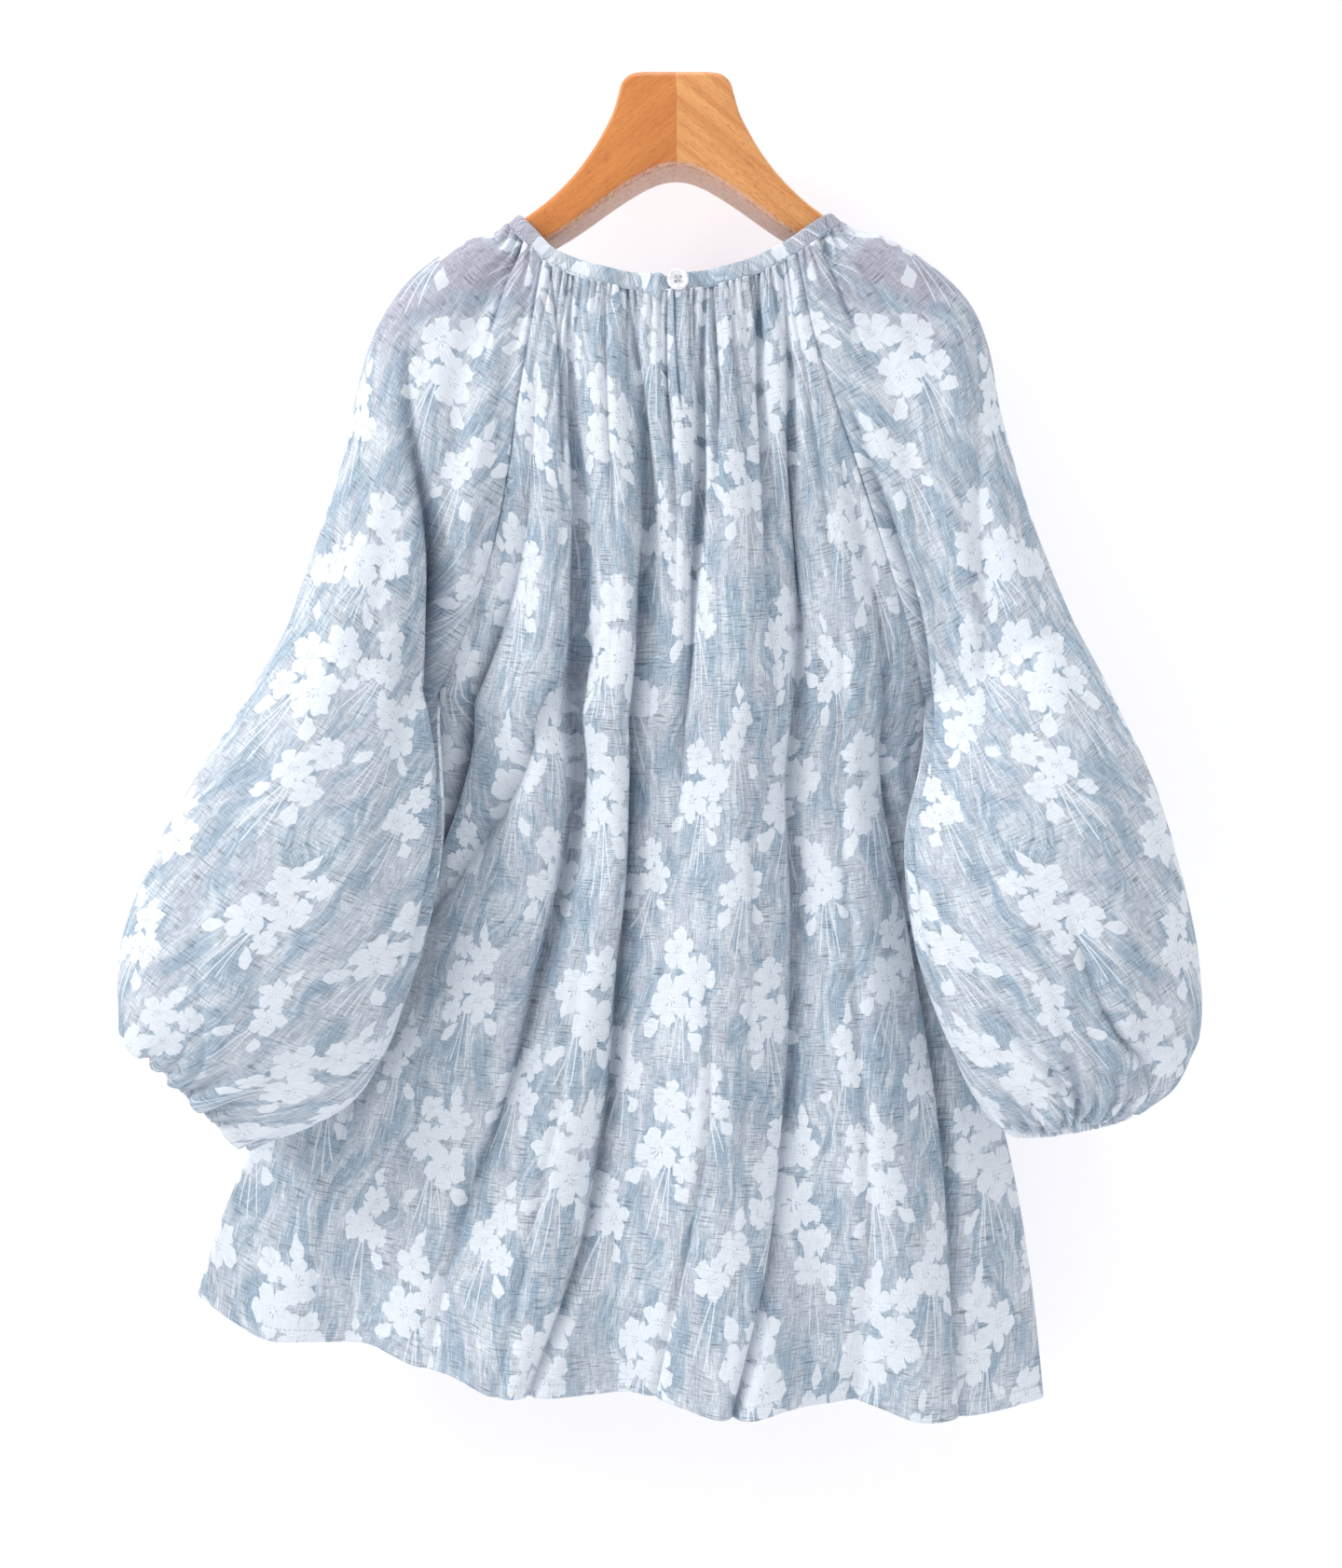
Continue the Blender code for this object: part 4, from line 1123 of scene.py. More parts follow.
def cloth_place(tree):
    """Places on the flat cloth in millimetres, and a small uneven shift."""
    uv = new_node(tree, "UVMap", uv_map="Cut")
    place = vector_math(tree, "SCALE", uv.outputs[0], 1000.0)
    shift = noise(tree, place, (8.5, 8.5, 1), detail=1.0).outputs[1]
    shift = vector_math(tree, "SUBTRACT", shift, (0.5, 0.5, 0.5))
    return place, vector_math(tree, "MULTIPLY", shift, (2 * PRINT_WOBBLE, 2 * PRINT_WOBBLE, 0))


def weave(tree, place):
    """Light and dark of the threads: crosswise and lengthwise noise, and sparse dark slubs that
    run mostly crosswise."""
    weft = noise_field(tree, place, (6.5, 0.60, 1), 1.0)
    warp = noise_field(tree, place, (0.60, 6.5, 1), 1.0)
    patches = noise_field(tree, place, (24.0, 15.0, 1), 1.0)
    cross = noise_field(tree, place, (14.0, 0.75, 1), 0.0).step(0.64, 0.74)
    along = noise_field(tree, place, (0.75, 17.0, 1), 0.0).step(0.65, 0.75)
    slub = cross * patches.step(0.40, 0.56)
    return weft, warp, slub.most(along * patches.step(0.56, 0.44) * 0.7)


def watery_ground(tree, place, tones):
    """Lengthwise brush streaks that wander: noises stretched down the cloth, read at places
    shifted sideways by a broad noise, each mixing in one of the print's tones."""
    drift = noise_field(tree, place, (58.0, 84.0, 1), 1.0)
    eddy = noise_field(tree, mapped(tree, place, (31, 12, 0)), (21.0, 30.0, 1), 1.0)
    wander = new_node(tree, "CombineXYZ", ((drift * 38.0 + eddy * 10.0).over(1.0, -24.0),))
    place = vector_math(tree, "ADD", place, wander.outputs[0])
    broad = noise_field(tree, place, (15.0, 44.0, 1), 3.0).step(0.42, 0.60)
    pale = noise_field(tree, mapped(tree, place, (70, 30, 0)), (8.0, 36.0, 1), 3.0)
    fine = noise_field(tree, mapped(tree, place, (20, 90, 0)), (1.7, 24.0, 1), 2.0)
    hairs = noise_field(tree, mapped(tree, place, (5, 9, 0), turn=0.12), (0.9, 22.0, 1), 1.0)
    ground = mixed(tree, broad, tones.blue, tones.grey)
    ground = mixed(tree, pale.step(0.49, 0.65) * 0.72, ground, tones.pale)
    ground = mixed(tree, fine.step(0.60, 0.40) * 0.35, ground, tones.blue)
    return mixed(tree, hairs.step(0.58, 0.70) * 0.46, ground, tones.pale)


def over_arm(tree):
    """How much painted see-through shade the hanger's arms give the thin cloth in front of them: 1
    along their middle lines, and 0 beyond a set distance from them and past their ends."""
    across, _deep, up = parts_of(tree, object_place(tree))
    across = abs(across)
    off = abs(up + across * ARM_SLOPE + -ARM_HEIGHT)
    ends = across.step(*ARM_INNER_END) * across.step(*ARM_OUTER_END)
    patches = noise_field(tree, object_place(tree), (26.0, 26.0, 26.0), 1.0, False)
    return off.step(*ARM_EDGE) * ends * patches.step(0.34, 0.56)


def printed_cloth(tones):
    """Thin woven cloth with white blossoms on a watery blue ground. Painted shade darkens it where
    it lies in a narrow valley, and a painted see-through tint greys it over the hanger's arms."""
    settings = {"Roughness": 0.82, "Specular IOR Level": 0.12}
    made, tree, shader = new_material("Printed cloth", settings)
    place, shift = cloth_place(tree)
    ground = watery_ground(tree, place, tones)
    weft, warp, slub = weave(tree, place)
    white, grey = bunches(tree, place, shift, FULL_BUNCH)
    small_white, small_grey = bunches(tree, place, shift, SMALL_BUNCH)
    grey = (grey * (1.0 - small_white)).most(small_grey)
    white = white.most(small_white)
    petals = mixed(tree, grey, tones.flower, tones.mark)
    colour = mixed(tree, white, ground, petals)
    quiet = white.over(-0.70, 1.0)
    shade = (weft + warp).over(0.66, -0.66) * quiet + 1.0
    shade = shade * (slub * quiet).over(-0.40, 1.0)
    # Painted shade: the colour is darkened where the cloth pieces mark narrow valleys, gathers and
    # the slit
    depth = new_node(tree, "Attribute", attribute_name="hollow")
    hollow = Field(tree, depth.outputs["Fac"])
    levels = [hollow.over(-darkening, 1.0) * shade for darkening in PAINTED_SHADE_DARKENING]
    level = new_node(tree, "CombineColor", levels)
    # Painted see-through shade: the cloth turns greyer where the hanger's arms lie behind it
    painted_arm_shade = over_arm(tree) * white.over(-0.62, 0.88)
    colour = mixed(tree, painted_arm_shade, colour, tones.painted_arm_shade)
    plug(tree, shader.inputs["Base Color"], mixed(tree, 1.0, colour, level.outputs[0], "MULTIPLY"))
    bumped(tree, shader, weft + warp, 0.35, 0.25 * MM)
    return made


# ---------------------------------------------------------------------------------------------
# Thread, plastic and wood
# ---------------------------------------------------------------------------------------------


def object_place(tree):
    """Places on the object, in millimetres."""
    return vector_math(tree, "SCALE", new_node(tree, "TexCoord").outputs["Object"], 1000.0)


def bumped(tree, shader, height, strength, distance):
    """Puts a bump into the shader's normal; distance is in metres."""
    inputs = {"Strength": strength, "Distance": distance, "Height": height}
    plug(tree, shader.inputs["Normal"], new_node(tree, "Bump", inputs).outputs[0])


def sewing_thread(finish):
    """Matt spun thread with slanting plies, with painted shade between them."""
    made, tree, shader = new_material("Sewing thread", {"Roughness": 0.75})
    place = mapped(tree, object_place(tree), turn=0.6, axis=1)
    across, deep, _up = parts_of(tree, place)
    # Painted shade between the plies: bands mix the thread's light and dark colours
    plies = (across * 9.0 + deep * 3.0).math("SINE").over(0.5, 0.5)
    plug(tree, shader.inputs["Base Color"], mixed(tree, plies, finish.thread_ply_shade, finish.thread))
    bumped(tree, shader, plies, 0.4, 0.1 * MM)
    return made


def button_plastic(finish):
    """Glossy off-white plastic with faint pearly clouds."""
    settings = {"Roughness": 0.22, "Coat Weight": 0.4, "Coat Roughness": 0.12}
    made, tree, shader = new_material("Button plastic", settings)
    place = object_place(tree)
    clouds = noise_field(tree, place, (2.6, 2.6, 1.4), 2.0, flat=False).step(0.40, 0.62)
    pearl = mixed(tree, clouds, finish.button, finish.button_shade)
    plug(tree, shader.inputs["Base Color"], pearl)
    bumped(tree, shader, clouds, 0.05, 0.1 * MM)
    return made


def beech(name, light, dark, painted_underside_light, slope, lines):
    """Satin beech. The grain runs along the arm: broad bands, growth lines at the sine of the
    distance across the grain, and fine dark flecks. Faces turned down, under the arch, take a
    lighter pinkish tone: painted light."""
    settings = {"Roughness": 0.40, "Coat Weight": 0.10, "Coat Roughness": 0.30}
    made, tree, shader = new_material(name, settings)
    place = mapped(tree, object_place(tree), turn=slope, axis=1)
    bands = noise_field(tree, place, (95.0, 9.0, 9.0), 2.0, flat=False)
    fine = noise_field(tree, place, (46.0, 0.9, 0.9), 2.0, flat=False)
    bend = noise_field(tree, place, (130.0, 34.0, 34.0), 1.0, flat=False)
    _along, deep, up = parts_of(tree, place)
    growth = (up * 0.55 + deep * 0.09 + bend * 6.0).math("SINE").over(0.5, 0.5) ** 5.0
    fleck = noise_field(tree, place, (4.2, 0.42, 0.42), 0.0, flat=False).step(0.63, 0.70)
    darker = bands.step(0.36, 0.68) * 0.45 + fine.step(0.40, 0.70) * 0.34
    darker = (darker + growth * lines).math("MINIMUM", 1.0)
    colour = mixed(tree, darker, light, dark)
    # Painted light: faces turned down take a lighter pinkish tone, with pink flecks
    geometry = new_node(tree, "NewGeometry")
    facing = parts_of(tree, geometry.outputs["Normal"])[2].step(-0.25, -0.60)
    pink_fleck = noise_field(tree, place, (3.4, 1.1, 1.1), 1.0, flat=False).step(0.52, 0.62)
    below = mixed(tree, pink_fleck * 0.6, painted_underside_light, dark)
    colour = mixed(tree, facing, colour, below)
    colour = mixed(tree, fleck * 0.42, colour, tone(150, 86, 44))
    plug(tree, shader.inputs["Base Color"], colour)
    bumped(tree, shader, fine - fleck, 0.12, 0.15 * MM)
    return made


# ---------------------------------------------------------------------------------------------
# Cloth pieces
# ---------------------------------------------------------------------------------------------


def body_surface(panel, sizes):
    """A body panel's finished middle surface. Gathers, small creases and narrow grooves are added
    along the normals. All of them die out at the seams, where the cloth dips."""
    back = panel == "back"
    columns, rows = BACK_CELLS if back else FRONT_CELLS
    down = np.linspace(0, 1 - HEM_HEIGHTS[0] / BODY_LENGTH, rows - len(HEM_HEIGHTS) + 2)
    down **= BODY_ROW_POWER
    down = np.concatenate([down[:-1], 1 - np.array(HEM_HEIGHTS) / BODY_LENGTH])
    across = back_columns(down) if back else even_columns(columns)
    down = np.broadcast_to(down[:, None], (len(down), across.shape[-1]))
    across = np.broadcast_to(across, down.shape)
    points = body_point(across, down, panel)
    facing = normals(points) * (-1 if back else 1)
    wide = np.linalg.norm(body_edge(down, "right", panel) - body_edge(down, "left", panel), axis=-1)
    from_seam = np.minimum(across, 1 - across) * wide
    from_neck = down * BODY_LENGTH
    flat = np.stack([(across - 0.5) * CUT_WIDTH.at("body", down), -from_neck], axis=-1)
    gather_seed, crease_seed = BODY_SEEDS[panel]
    gathered = gathers(across, from_neck, BODY_GATHERS, sizes.gather_depth, gather_seed)
    ripple = gathered + creases(flat, BODY_CREASES, sizes.crease_depth, crease_seed)
    valleys = np.zeros_like(across)
    if back:
        from_slit = (across - SLIT_PLACE) * wide
        on_slit = np.clip((SLIT_END + SLIT_STRIP_BEYOND - down) / SLIT_FADE, 0, 1)
        strip = (SLIT_STRIP + SLIT_STRIP_EDGE - np.abs(from_slit)) / SLIT_STRIP_EDGE
        strip = on_slit * np.clip(strip, 0, 1)
        ripple = ripple * (1 - SLIT_STRIP_FLAT * strip) + SLIT_STRIP_LIFT * strip
        from_strip = np.abs(from_slit) - SLIT_STRIP - SLIT_DIP
        ripple -= SLIT_DIP * on_slit * bell(from_strip, SLIT_DIP_WIDTH)
        valleys = groove_depth(across, down, wide, BACK_GROOVES + SHORT_GROOVES)
        ripple -= valleys
    hem = -HEM_DIP * bell((1 - down) * BODY_LENGTH - HEM_DEPTH, HEM_DIP_WIDTH)
    ripple *= 1 - bell(from_seam, SEAM_CALM)
    points = points + facing * (beside_seam(from_seam) + ripple + hem)[..., None]
    waves = HEM_WAVES.at("rise", across if back else 1 - across)
    points[..., 2] += waves * np.clip((down - HEM_WAVE_START) / (1 - HEM_WAVE_START), 0, 1) ** 2
    # Painted shade: how much the colour darkens in the grooves and gathers
    hollow = hollows(valleys, gathered)
    if back:
        # Painted shade: a dark line down the slit
        hollow += SLIT_SHADE * on_slit * bell(from_slit, SLIT_SHADE_WIDTH)
    return Surface(points, facing, flat, across, down, hollow)


def body_panel(panel, sizes, finish):
    """A body panel. Its last rows turn up inside as the hem; on the back, the slit's two edges
    are apart down to the slit's end."""
    cloth = body_surface(panel, sizes)
    points, facing, down = cloth.points, cloth.facing, cloth.down
    back_up = slice(None, -len(HEM_HEIGHTS) - 1, -1)
    tip = points[-1:] - facing[-1:] * HEM_FOLD / 2 - np.array([0, 0, HEM_FOLD / 2])
    points = np.concatenate([points, tip, points[back_up] - facing[back_up] * HEM_FOLD])
    flat, hollow = (
        np.concatenate([part, part[-1:], part[back_up]]) for part in (cloth.flat, cloth.hollow)
    )
    joined = np.arange(points[..., 0].size).reshape(points.shape[:2])
    left_out = None
    if panel == "back":
        half = BACK_CELLS[0] // 2
        open_rows = int(np.searchsorted(down[:, half], SLIT_END))
        gap = SLIT_GAP / 2 * np.clip((SLIT_END - down[:open_rows, half]) / SLIT_FADE, 0, 1)
        points[:open_rows, half, 0] -= gap
        points[:open_rows, half + 1, 0] += gap
        joined[open_rows:, half + 1] = joined[open_rows:, half]
        left_out = half
    cloth_sheet(
        panel + "_cloth", points, flat, hollow, finish, panel + "_panel", sizes.cloth_wall,
        panel == "back", joined, left_out,
    )


def sleeve_surface(side, sizes):
    """A sleeve's finished middle surface. Its grain follows the sleeve's length."""
    columns, rows = SLEEVE_CELLS
    upper = np.linspace(0, SLEEVE_UNDERARM, rows // 2 + 1)
    lower = (1 - np.linspace(0, 1, rows - rows // 2 + 1)) ** SLEEVE_ROW_POWER
    down = np.concatenate([upper, (1 - (1 - SLEEVE_UNDERARM) * lower)[1:]])
    turns = sleeve_turns(down, side)
    across = even_columns(columns)
    points = even_turns(turns, across)
    facing = normals(points) * (1 if side == "left" else -1)
    closed = down >= SLEEVE_UNDERARM
    facing[closed, 0] = facing[closed, -1] = unit(facing[closed, 0] + facing[closed, -1])
    across, down = np.meshgrid(across, down)
    around = lengths_along(turns)[:, -1:]
    from_seam = np.minimum(across, 1 - across) * around
    from_neck = lengths_along(points.swapaxes(0, 1)).swapaxes(0, 1)
    from_cuff = from_neck[-1:] - from_neck
    twisted = (down - SLEEVE_TWIST_START) / (1 - SLEEVE_TWIST_START)
    turn_out = SLEEVE_TWIST * np.clip(twisted, 0, 1) ** 1.5
    from_middle = (across - 0.5) * CUT_WIDTH.at("sleeve", down) - turn_out
    flat = np.stack([from_middle, -from_neck], axis=-1)
    gather_seed, crease_seed = SLEEVE_SEEDS[side]
    ripple = gathers(across, from_neck, SLEEVE_GATHERS, sizes.gather_depth, gather_seed)
    drawn = cuff_gathers(across, from_cuff, side, sizes)
    ripple += drawn
    ripple += creases(flat, SLEEVE_CREASES, sizes.crease_depth, crease_seed)
    ripple -= fold_depth(across, down, SLEEVE_FOLDS[side])
    valleys = groove_depth(across, down, around, SLEEVE_GROOVES[side])
    ripple -= valleys
    ripple *= 1 - bell(from_seam, SEAM_CALM)
    roll = from_cuff / CUFF_ROLL * np.exp(1 - from_cuff / CUFF_ROLL)
    ripple += CUFF_PUFF[side] * roll
    points = points + facing * (beside_seam(from_seam) + ripple)[..., None]
    lobes = np.clip(1 + drawn / sizes.cuff_gather_depth, 0, 1)
    points += cuff_direction(turns[-1]) * (CUFF_OVERHANG[side] * roll * lobes)[..., None]
    # Painted shade: how much the colour darkens in the grooves and the cuffs' gathers
    hollow = hollows(SLEEVE_HOLLOW * valleys, CUFF_HOLLOW * drawn)
    return Surface(points, facing, flat, across, down, hollow)


def cuff_gathers(across, from_cuff, side, sizes):
    """The valleys that run up a sleeve from its cuff."""
    depth = sizes.cuff_gather_depth
    return gathers(across, from_cuff, CUFF_GATHERS[side], depth, CUFF_SEEDS[side])


def cuff_direction(ring):
    """The direction in which a sleeve would run on from its last turn."""
    inner, outer = ring[0], ring[len(ring) // 2]
    onwards = np.array([(outer - inner)[2], 0.0, (inner - outer)[0]])
    return -onwards * np.sign(onwards[2]) / np.linalg.norm(onwards)


def sleeve(side, sizes, finish):
    """A sleeve: open along both raglan seams, and a closed tube below the underarm."""
    cloth = sleeve_surface(side, sizes)
    closed = cloth.down[:, 0] >= SLEEVE_UNDERARM
    joined = np.arange(cloth.down.size).reshape(cloth.down.shape)
    joined[closed, -1] = joined[closed, 0]
    cloth_sheet(
        f"sleeve_{side}_cloth", cloth.points, cloth.flat, cloth.hollow, finish, "sleeve_" + side,
        sizes.cloth_wall, side == "right", joined,
    )


def flat_oval(count, square):
    """Places on a squared circle: cosine and sine, each raised to 2 / square."""
    angle = round_angles(count)
    both = np.stack([np.cos(angle), np.sin(angle)], axis=-1)
    return np.sign(both) * np.abs(both) ** (2 / square)


def cuff(side, sizes, finish):
    """The narrow elastic casing: a flat oval section carried round the sleeve's last turn, and
    drawn in between the gathers."""
    turns = sleeve_turns(np.array([1.0]), side)
    across = np.linspace(0, 1, CUFF_CELLS[0] + 1)
    ring = even_turns(turns, across)[0]
    onwards = cuff_direction(ring)
    ring = ring[:-1]
    run = unit(np.roll(ring, -1, axis=0) - np.roll(ring, 1, axis=0))
    facing = np.cross(run, onwards)
    facing *= np.sign(np.sum(facing * (ring - ring.mean(axis=0))))
    lobes = cuff_gathers(across[:-1], np.zeros(len(ring)), side, sizes)
    section = flat_oval(CUFF_CELLS[1], CUFF_SQUARENESS) * (CUFF_WIDTH / 2, CUFF_WALL / 2)
    middle = ring + onwards * (CUFF_WIDTH / 2 - CUFF_LAP) + facing * (lobes * CUFF_LOBES)[:, None]
    rings = (
        middle[:, None]
        + onwards * section[None, :, :1]
        + facing[:, None] * section[None, :, 1:]
    )
    round_it = np.linspace(0, 2 * (CUFF_WIDTH + CUFF_WALL), CUFF_CELLS[1] + 1)
    along = across * CUT_WIDTH.at("sleeve", 1.0)
    flat = np.stack(np.meshgrid(round_it, along), axis=-1)[..., ::-1]
    tube(
        f"cuff_{side}_cloth", rings, finish, ["cuff_" + side], flat, endless=True
    )


def neck_line():
    """The neck edge from the slit round by the left shoulder and back to the slit, as even points
    with the direction in which the cloth would run on upwards and the direction outwards."""

    def edge(first, last, panel):
        across = np.linspace(first, last, 61)
        start = body_point(across, np.zeros_like(across), panel)
        return start, start - body_point(across, np.full_like(across, NECK_STEP), panel)

    def shoulder(side):
        turns = sleeve_turns(np.array([0.0, NECK_STEP]), side)
        start, below = even_turns(turns, np.linspace(0, 1, 41))
        return start, start - below

    right_side = tuple(part[::-1] for part in shoulder("right"))
    stretches = [
        edge(SLIT_PLACE, 0.0, "back"), shoulder("left"), edge(0.0, 1.0, "front"), right_side,
        edge(1.0, SLIT_PLACE, "back"),
    ]
    line = np.concatenate([part[0] for part in stretches])
    rise = np.concatenate([part[1] for part in stretches])
    length = lengths_along(line)
    wanted = np.linspace(0, length[-1], BINDING_CELLS[0] + 1)
    line = smoothed(read_line(wanted, length, line), LINE_SMOOTHING)
    rise = smoothed(read_line(wanted, length, rise), RISE_SMOOTHING)
    along = unit(np.gradient(line, axis=0))
    rise = unit(rise - along * np.sum(rise * along, axis=-1, keepdims=True))
    return line, rise, np.cross(rise, along), wanted


def smoothed(values, count):
    """A running mean over count rows, with the first and last rows repeated beyond the ends."""
    ends = count // 2
    padded = np.concatenate([values[:1]] * ends + [values] + [values[-1:]] * ends)
    sums = np.cumsum(np.concatenate([np.zeros_like(padded[:1]), padded]), axis=0)
    return (sums[count:] - sums[:-count]) / count


def neck_binding(finish):
    """The binding: a flat oval section carried round the neck, over the panels' edges. Its left
    end is narrow and runs under the button, and beside the button its lower edge hangs in a
    corner over the cloth: a bell with its own reach on either side. Its right end stops beside
    the button."""
    line, rise, facing, length = neck_line()
    kept = (length >= TAB_START) & (length <= length[-1] - BUTTON_RADIUS)
    line, rise, facing, length = (values[kept] for values in (line, rise, facing, length))
    narrow = TAB_INSET * np.clip((TAB_LENGTH + TAB_TAPER - length) / TAB_TAPER, 0, 1)
    drop = (length - TAB_DROP_PLACE) / np.where(length < TAB_DROP_PLACE, *TAB_DROP_REACH)
    drop = TAB_DROP * np.exp(-drop * drop)
    half = (BINDING_WIDTH + BINDING_OVERLAP + drop) / 2 - narrow
    draw = np.random.default_rng(BINDING_SEED)
    pucker = BINDING_PUCKER * smoothed(draw.normal(0, 1, (len(line), 1)), 7)[:, 0]
    out = BINDING_OUT + pucker + TAB_DROP_OUT * drop
    middle = line + rise * ((BINDING_WIDTH - BINDING_OVERLAP) / 2 + SEAM_GAP)
    middle = middle + facing * out[:, None] - rise * drop[:, None] / 2
    section = flat_oval(BINDING_CELLS[1], BINDING_SQUARENESS)
    rings = (
        middle[:, None]
        + rise[:, None] * section[None, :, :1] * half[:, None, None]
        + facing[:, None] * section[None, :, 1:] * BINDING_WALL / 2
    )
    round_it = np.linspace(0, 2 * (BINDING_WIDTH + BINDING_WALL), BINDING_CELLS[1] + 1)
    round_it, along = np.meshgrid(round_it, length)
    flat = np.stack([along + round_it, along - round_it], axis=-1) * math.sqrt(0.5)
    flat += BINDING_PLACE
    tube("neck_binding_cloth", rings, finish, ["neck_binding"], flat)


# ---------------------------------------------------------------------------------------------
# Stitches and button
# ---------------------------------------------------------------------------------------------


def stitches(name, lines, sizes, finish):
    """Running stitches along lines on the cloth: each is a thin bar whose radius is small at its
    ends, arched by (1 - t²) for t from -1 to 1 along it, so that its ends go into the cloth."""
    lifted = [line + facing * (sizes.cloth_wall / MM / 2) for line, facing in lines]
    pitch, half = sizes.stitch_pitch / MM, sizes.stitch_length / MM / 2
    middles, runs, faces_out = [], [], []
    for line, (_, facing) in zip(lifted, lines):
        length = lengths_along(line)
        wanted = np.arange(pitch / 2, length[-1] - pitch / 2, pitch)
        middles.append(read_line(wanted, length, line))
        runs.append(unit(read_line(wanted, length, np.gradient(line, axis=0))))
        faces_out.append(read_line(wanted, length, facing))
    middle, run, out = (np.concatenate(part) for part in (middles, runs, faces_out))
    aside = np.cross(run, out)
    t = STITCH_PLACES
    thick = STITCH_THICKNESS * sizes.stitch_radius / MM
    angle = round_angles(STITCH_SIDES)
    up = STITCH_ARCH * (1 - t * t)[:, None] + thick[:, None] * np.sin(angle) - STITCH_SUNK
    across = thick[:, None] * np.cos(angle)
    points = (
        middle[:, None, None]
        + run[:, None, None] * (half * t)[None, :, None, None]
        + out[:, None, None] * up[None, ..., None]
        + aside[:, None, None] * across[None, ..., None]
    )
    place = np.arange(len(t) * STITCH_SIDES).reshape(len(t), STITCH_SIDES)
    wrapped = np.concatenate([place, place[:, :1]], axis=1)
    quads = wrapped.ravel()[grid_corners(*wrapped.shape).reshape(-1, 4)]
    start = (np.arange(len(middle)) * place.size)[:, None, None]
    quads = (quads[None] + start).reshape(-1, 4).tolist()
    ends = (np.stack([place[0, ::-1], place[-1]])[None] + start).reshape(-1, STITCH_SIDES)
    new_piece(name, points.reshape(-1, 3), quads + ends.tolist(), finish)


def hem_stitches(sizes, finish):
    """Stitches round the hem, at the depth of its fold, on both panels."""
    lines = []
    for panel in ("back", "front"):
        cloth = body_surface(panel, sizes)
        row = -len(HEM_HEIGHTS)
        lines.append((cloth.points[row], cloth.facing[row]))
    stitches("hem_stitches", lines, sizes, finish)


def slit_stitches(sizes, finish):
    """Stitches down both sides of the slit and across its end."""
    cloth = body_surface("back", sizes)
    rows = slice(1, int(np.searchsorted(cloth.down[:, 0], SLIT_END)) + 2)
    surface = np.concatenate([cloth.points, cloth.facing], axis=-1)[rows]
    wide = np.linalg.norm(surface[:, -1, :3] - surface[:, 0, :3], axis=-1)[:, None]
    aside = np.linspace(-1, 1, 41) * SLIT_STITCHES
    read = read_rows(SLIT_PLACE + aside / wide, cloth.across[rows], surface)
    lines = [(line[:, :3], line[:, 3:]) for line in (read[:, 0], read[:, -1], read[-1])]
    stitches("slit_stitches", lines, sizes, finish)


def binding_stitches(sizes, finish):
    """Stitches along the binding's lower edge, on its outer side."""
    line, rise, facing, length = neck_line()
    kept = (length >= TAB_DROP_END) & (length <= length[-1] - BUTTON_RADIUS - 1)
    out = BINDING_OUT + BINDING_WALL / 2 - BINDING_STITCHES_SUNK
    line = line + rise * BINDING_STITCHES + facing * out
    stitches("binding_stitches", [(line[kept], facing[kept])], sizes, finish)


def button(finish, thread):
    """A four-hole button with a raised rim and a dished middle: a profile turned about the
    button's axis, with the holes cut out, and two threads that cross from hole to hole, arched
    by t to the power of six for t from -1 to 1 along them."""
    low, high = (np.array(corner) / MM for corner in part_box("button"))
    middle = (low + high) / 2
    deep = (high - low)[1] / 2
    radius = (high - low)[0] / 2
    profile = np.array(
        (
            (0.02, 1.00), (0.30, 1.00), (0.70, 0.98), (0.90, 0.80), (0.985, 0.40), (1.00, 0.0),
            (0.985, -0.45), (0.93, -0.82), (0.86, -1.00), (0.78, -0.98), (0.70, -0.84),
            (0.62, -0.74), (0.40, -0.70), (0.20, -0.68), (0.02, -0.68),
        )
    )
    rings = middle + radius * profile[:, None, :1] * upright_circle(round_angles(64))
    rings[..., 1] += deep * profile[:, 1:]
    disc = tube("button_disc", rings, finish, ["button"])
    holes = BUTTON_HOLE_REACH * upright_circle(np.radians((45, 135, 225, 315)))
    cut_holes(disc, middle, holes, deep)
    front = middle - np.array([0, deep * BUTTON_FACE, 0])
    ends = front + holes * BUTTON_THREAD_REACH
    for number in (0, 1):
        line = np.linspace(ends[number], ends[number + 2], BUTTON_THREAD_POINTS)
        t = np.linspace(-1, 1, BUTTON_THREAD_POINTS)
        line[:, 1] += BUTTON_THREAD_ARCH * t**6 - BUTTON_THREAD_OVER * number
        run = unit(np.gradient(line, axis=0))
        aside = unit(np.cross(run, np.array([0.0, 1.0, 0.0])))
        round_it = round_angles(10)[:, None]
        bar = (
            line[:, None]
            + aside[:, None] * np.cos(round_it) * BUTTON_THREAD
            + np.cross(run, aside)[:, None] * np.sin(round_it) * BUTTON_THREAD
        )
        tube(f"button_thread_{number + 1}", bar, thread)


def cut_holes(disc, middle, holes, deep):
    """Cuts round holes through the button and keeps the result as its mesh."""
    ring = BUTTON_HOLE_RADIUS * upright_circle(round_angles(20))
    for hole in holes:
        ends = [middle + hole + ring + np.array([0, side * deep * 3, 0]) for side in (-1, 1)]
        punch = tube("punch", np.stack(ends), disc.data.materials[0])
        cut = disc.modifiers.new("Hole", "BOOLEAN")
        cut.object = punch
        cut.solver = "EXACT"
        evaluated = disc.evaluated_get(bpy.context.evaluated_depsgraph_get())
        cut_mesh = bpy.data.meshes.new_from_object(evaluated)
        disc.modifiers.clear()
        disc.data = cut_mesh
        bpy.data.objects.remove(punch)
    disc.data.set_sharp_from_angle(angle=SHARP_ANGLE)


# ---------------------------------------------------------------------------------------------
# Hanger
# ---------------------------------------------------------------------------------------------


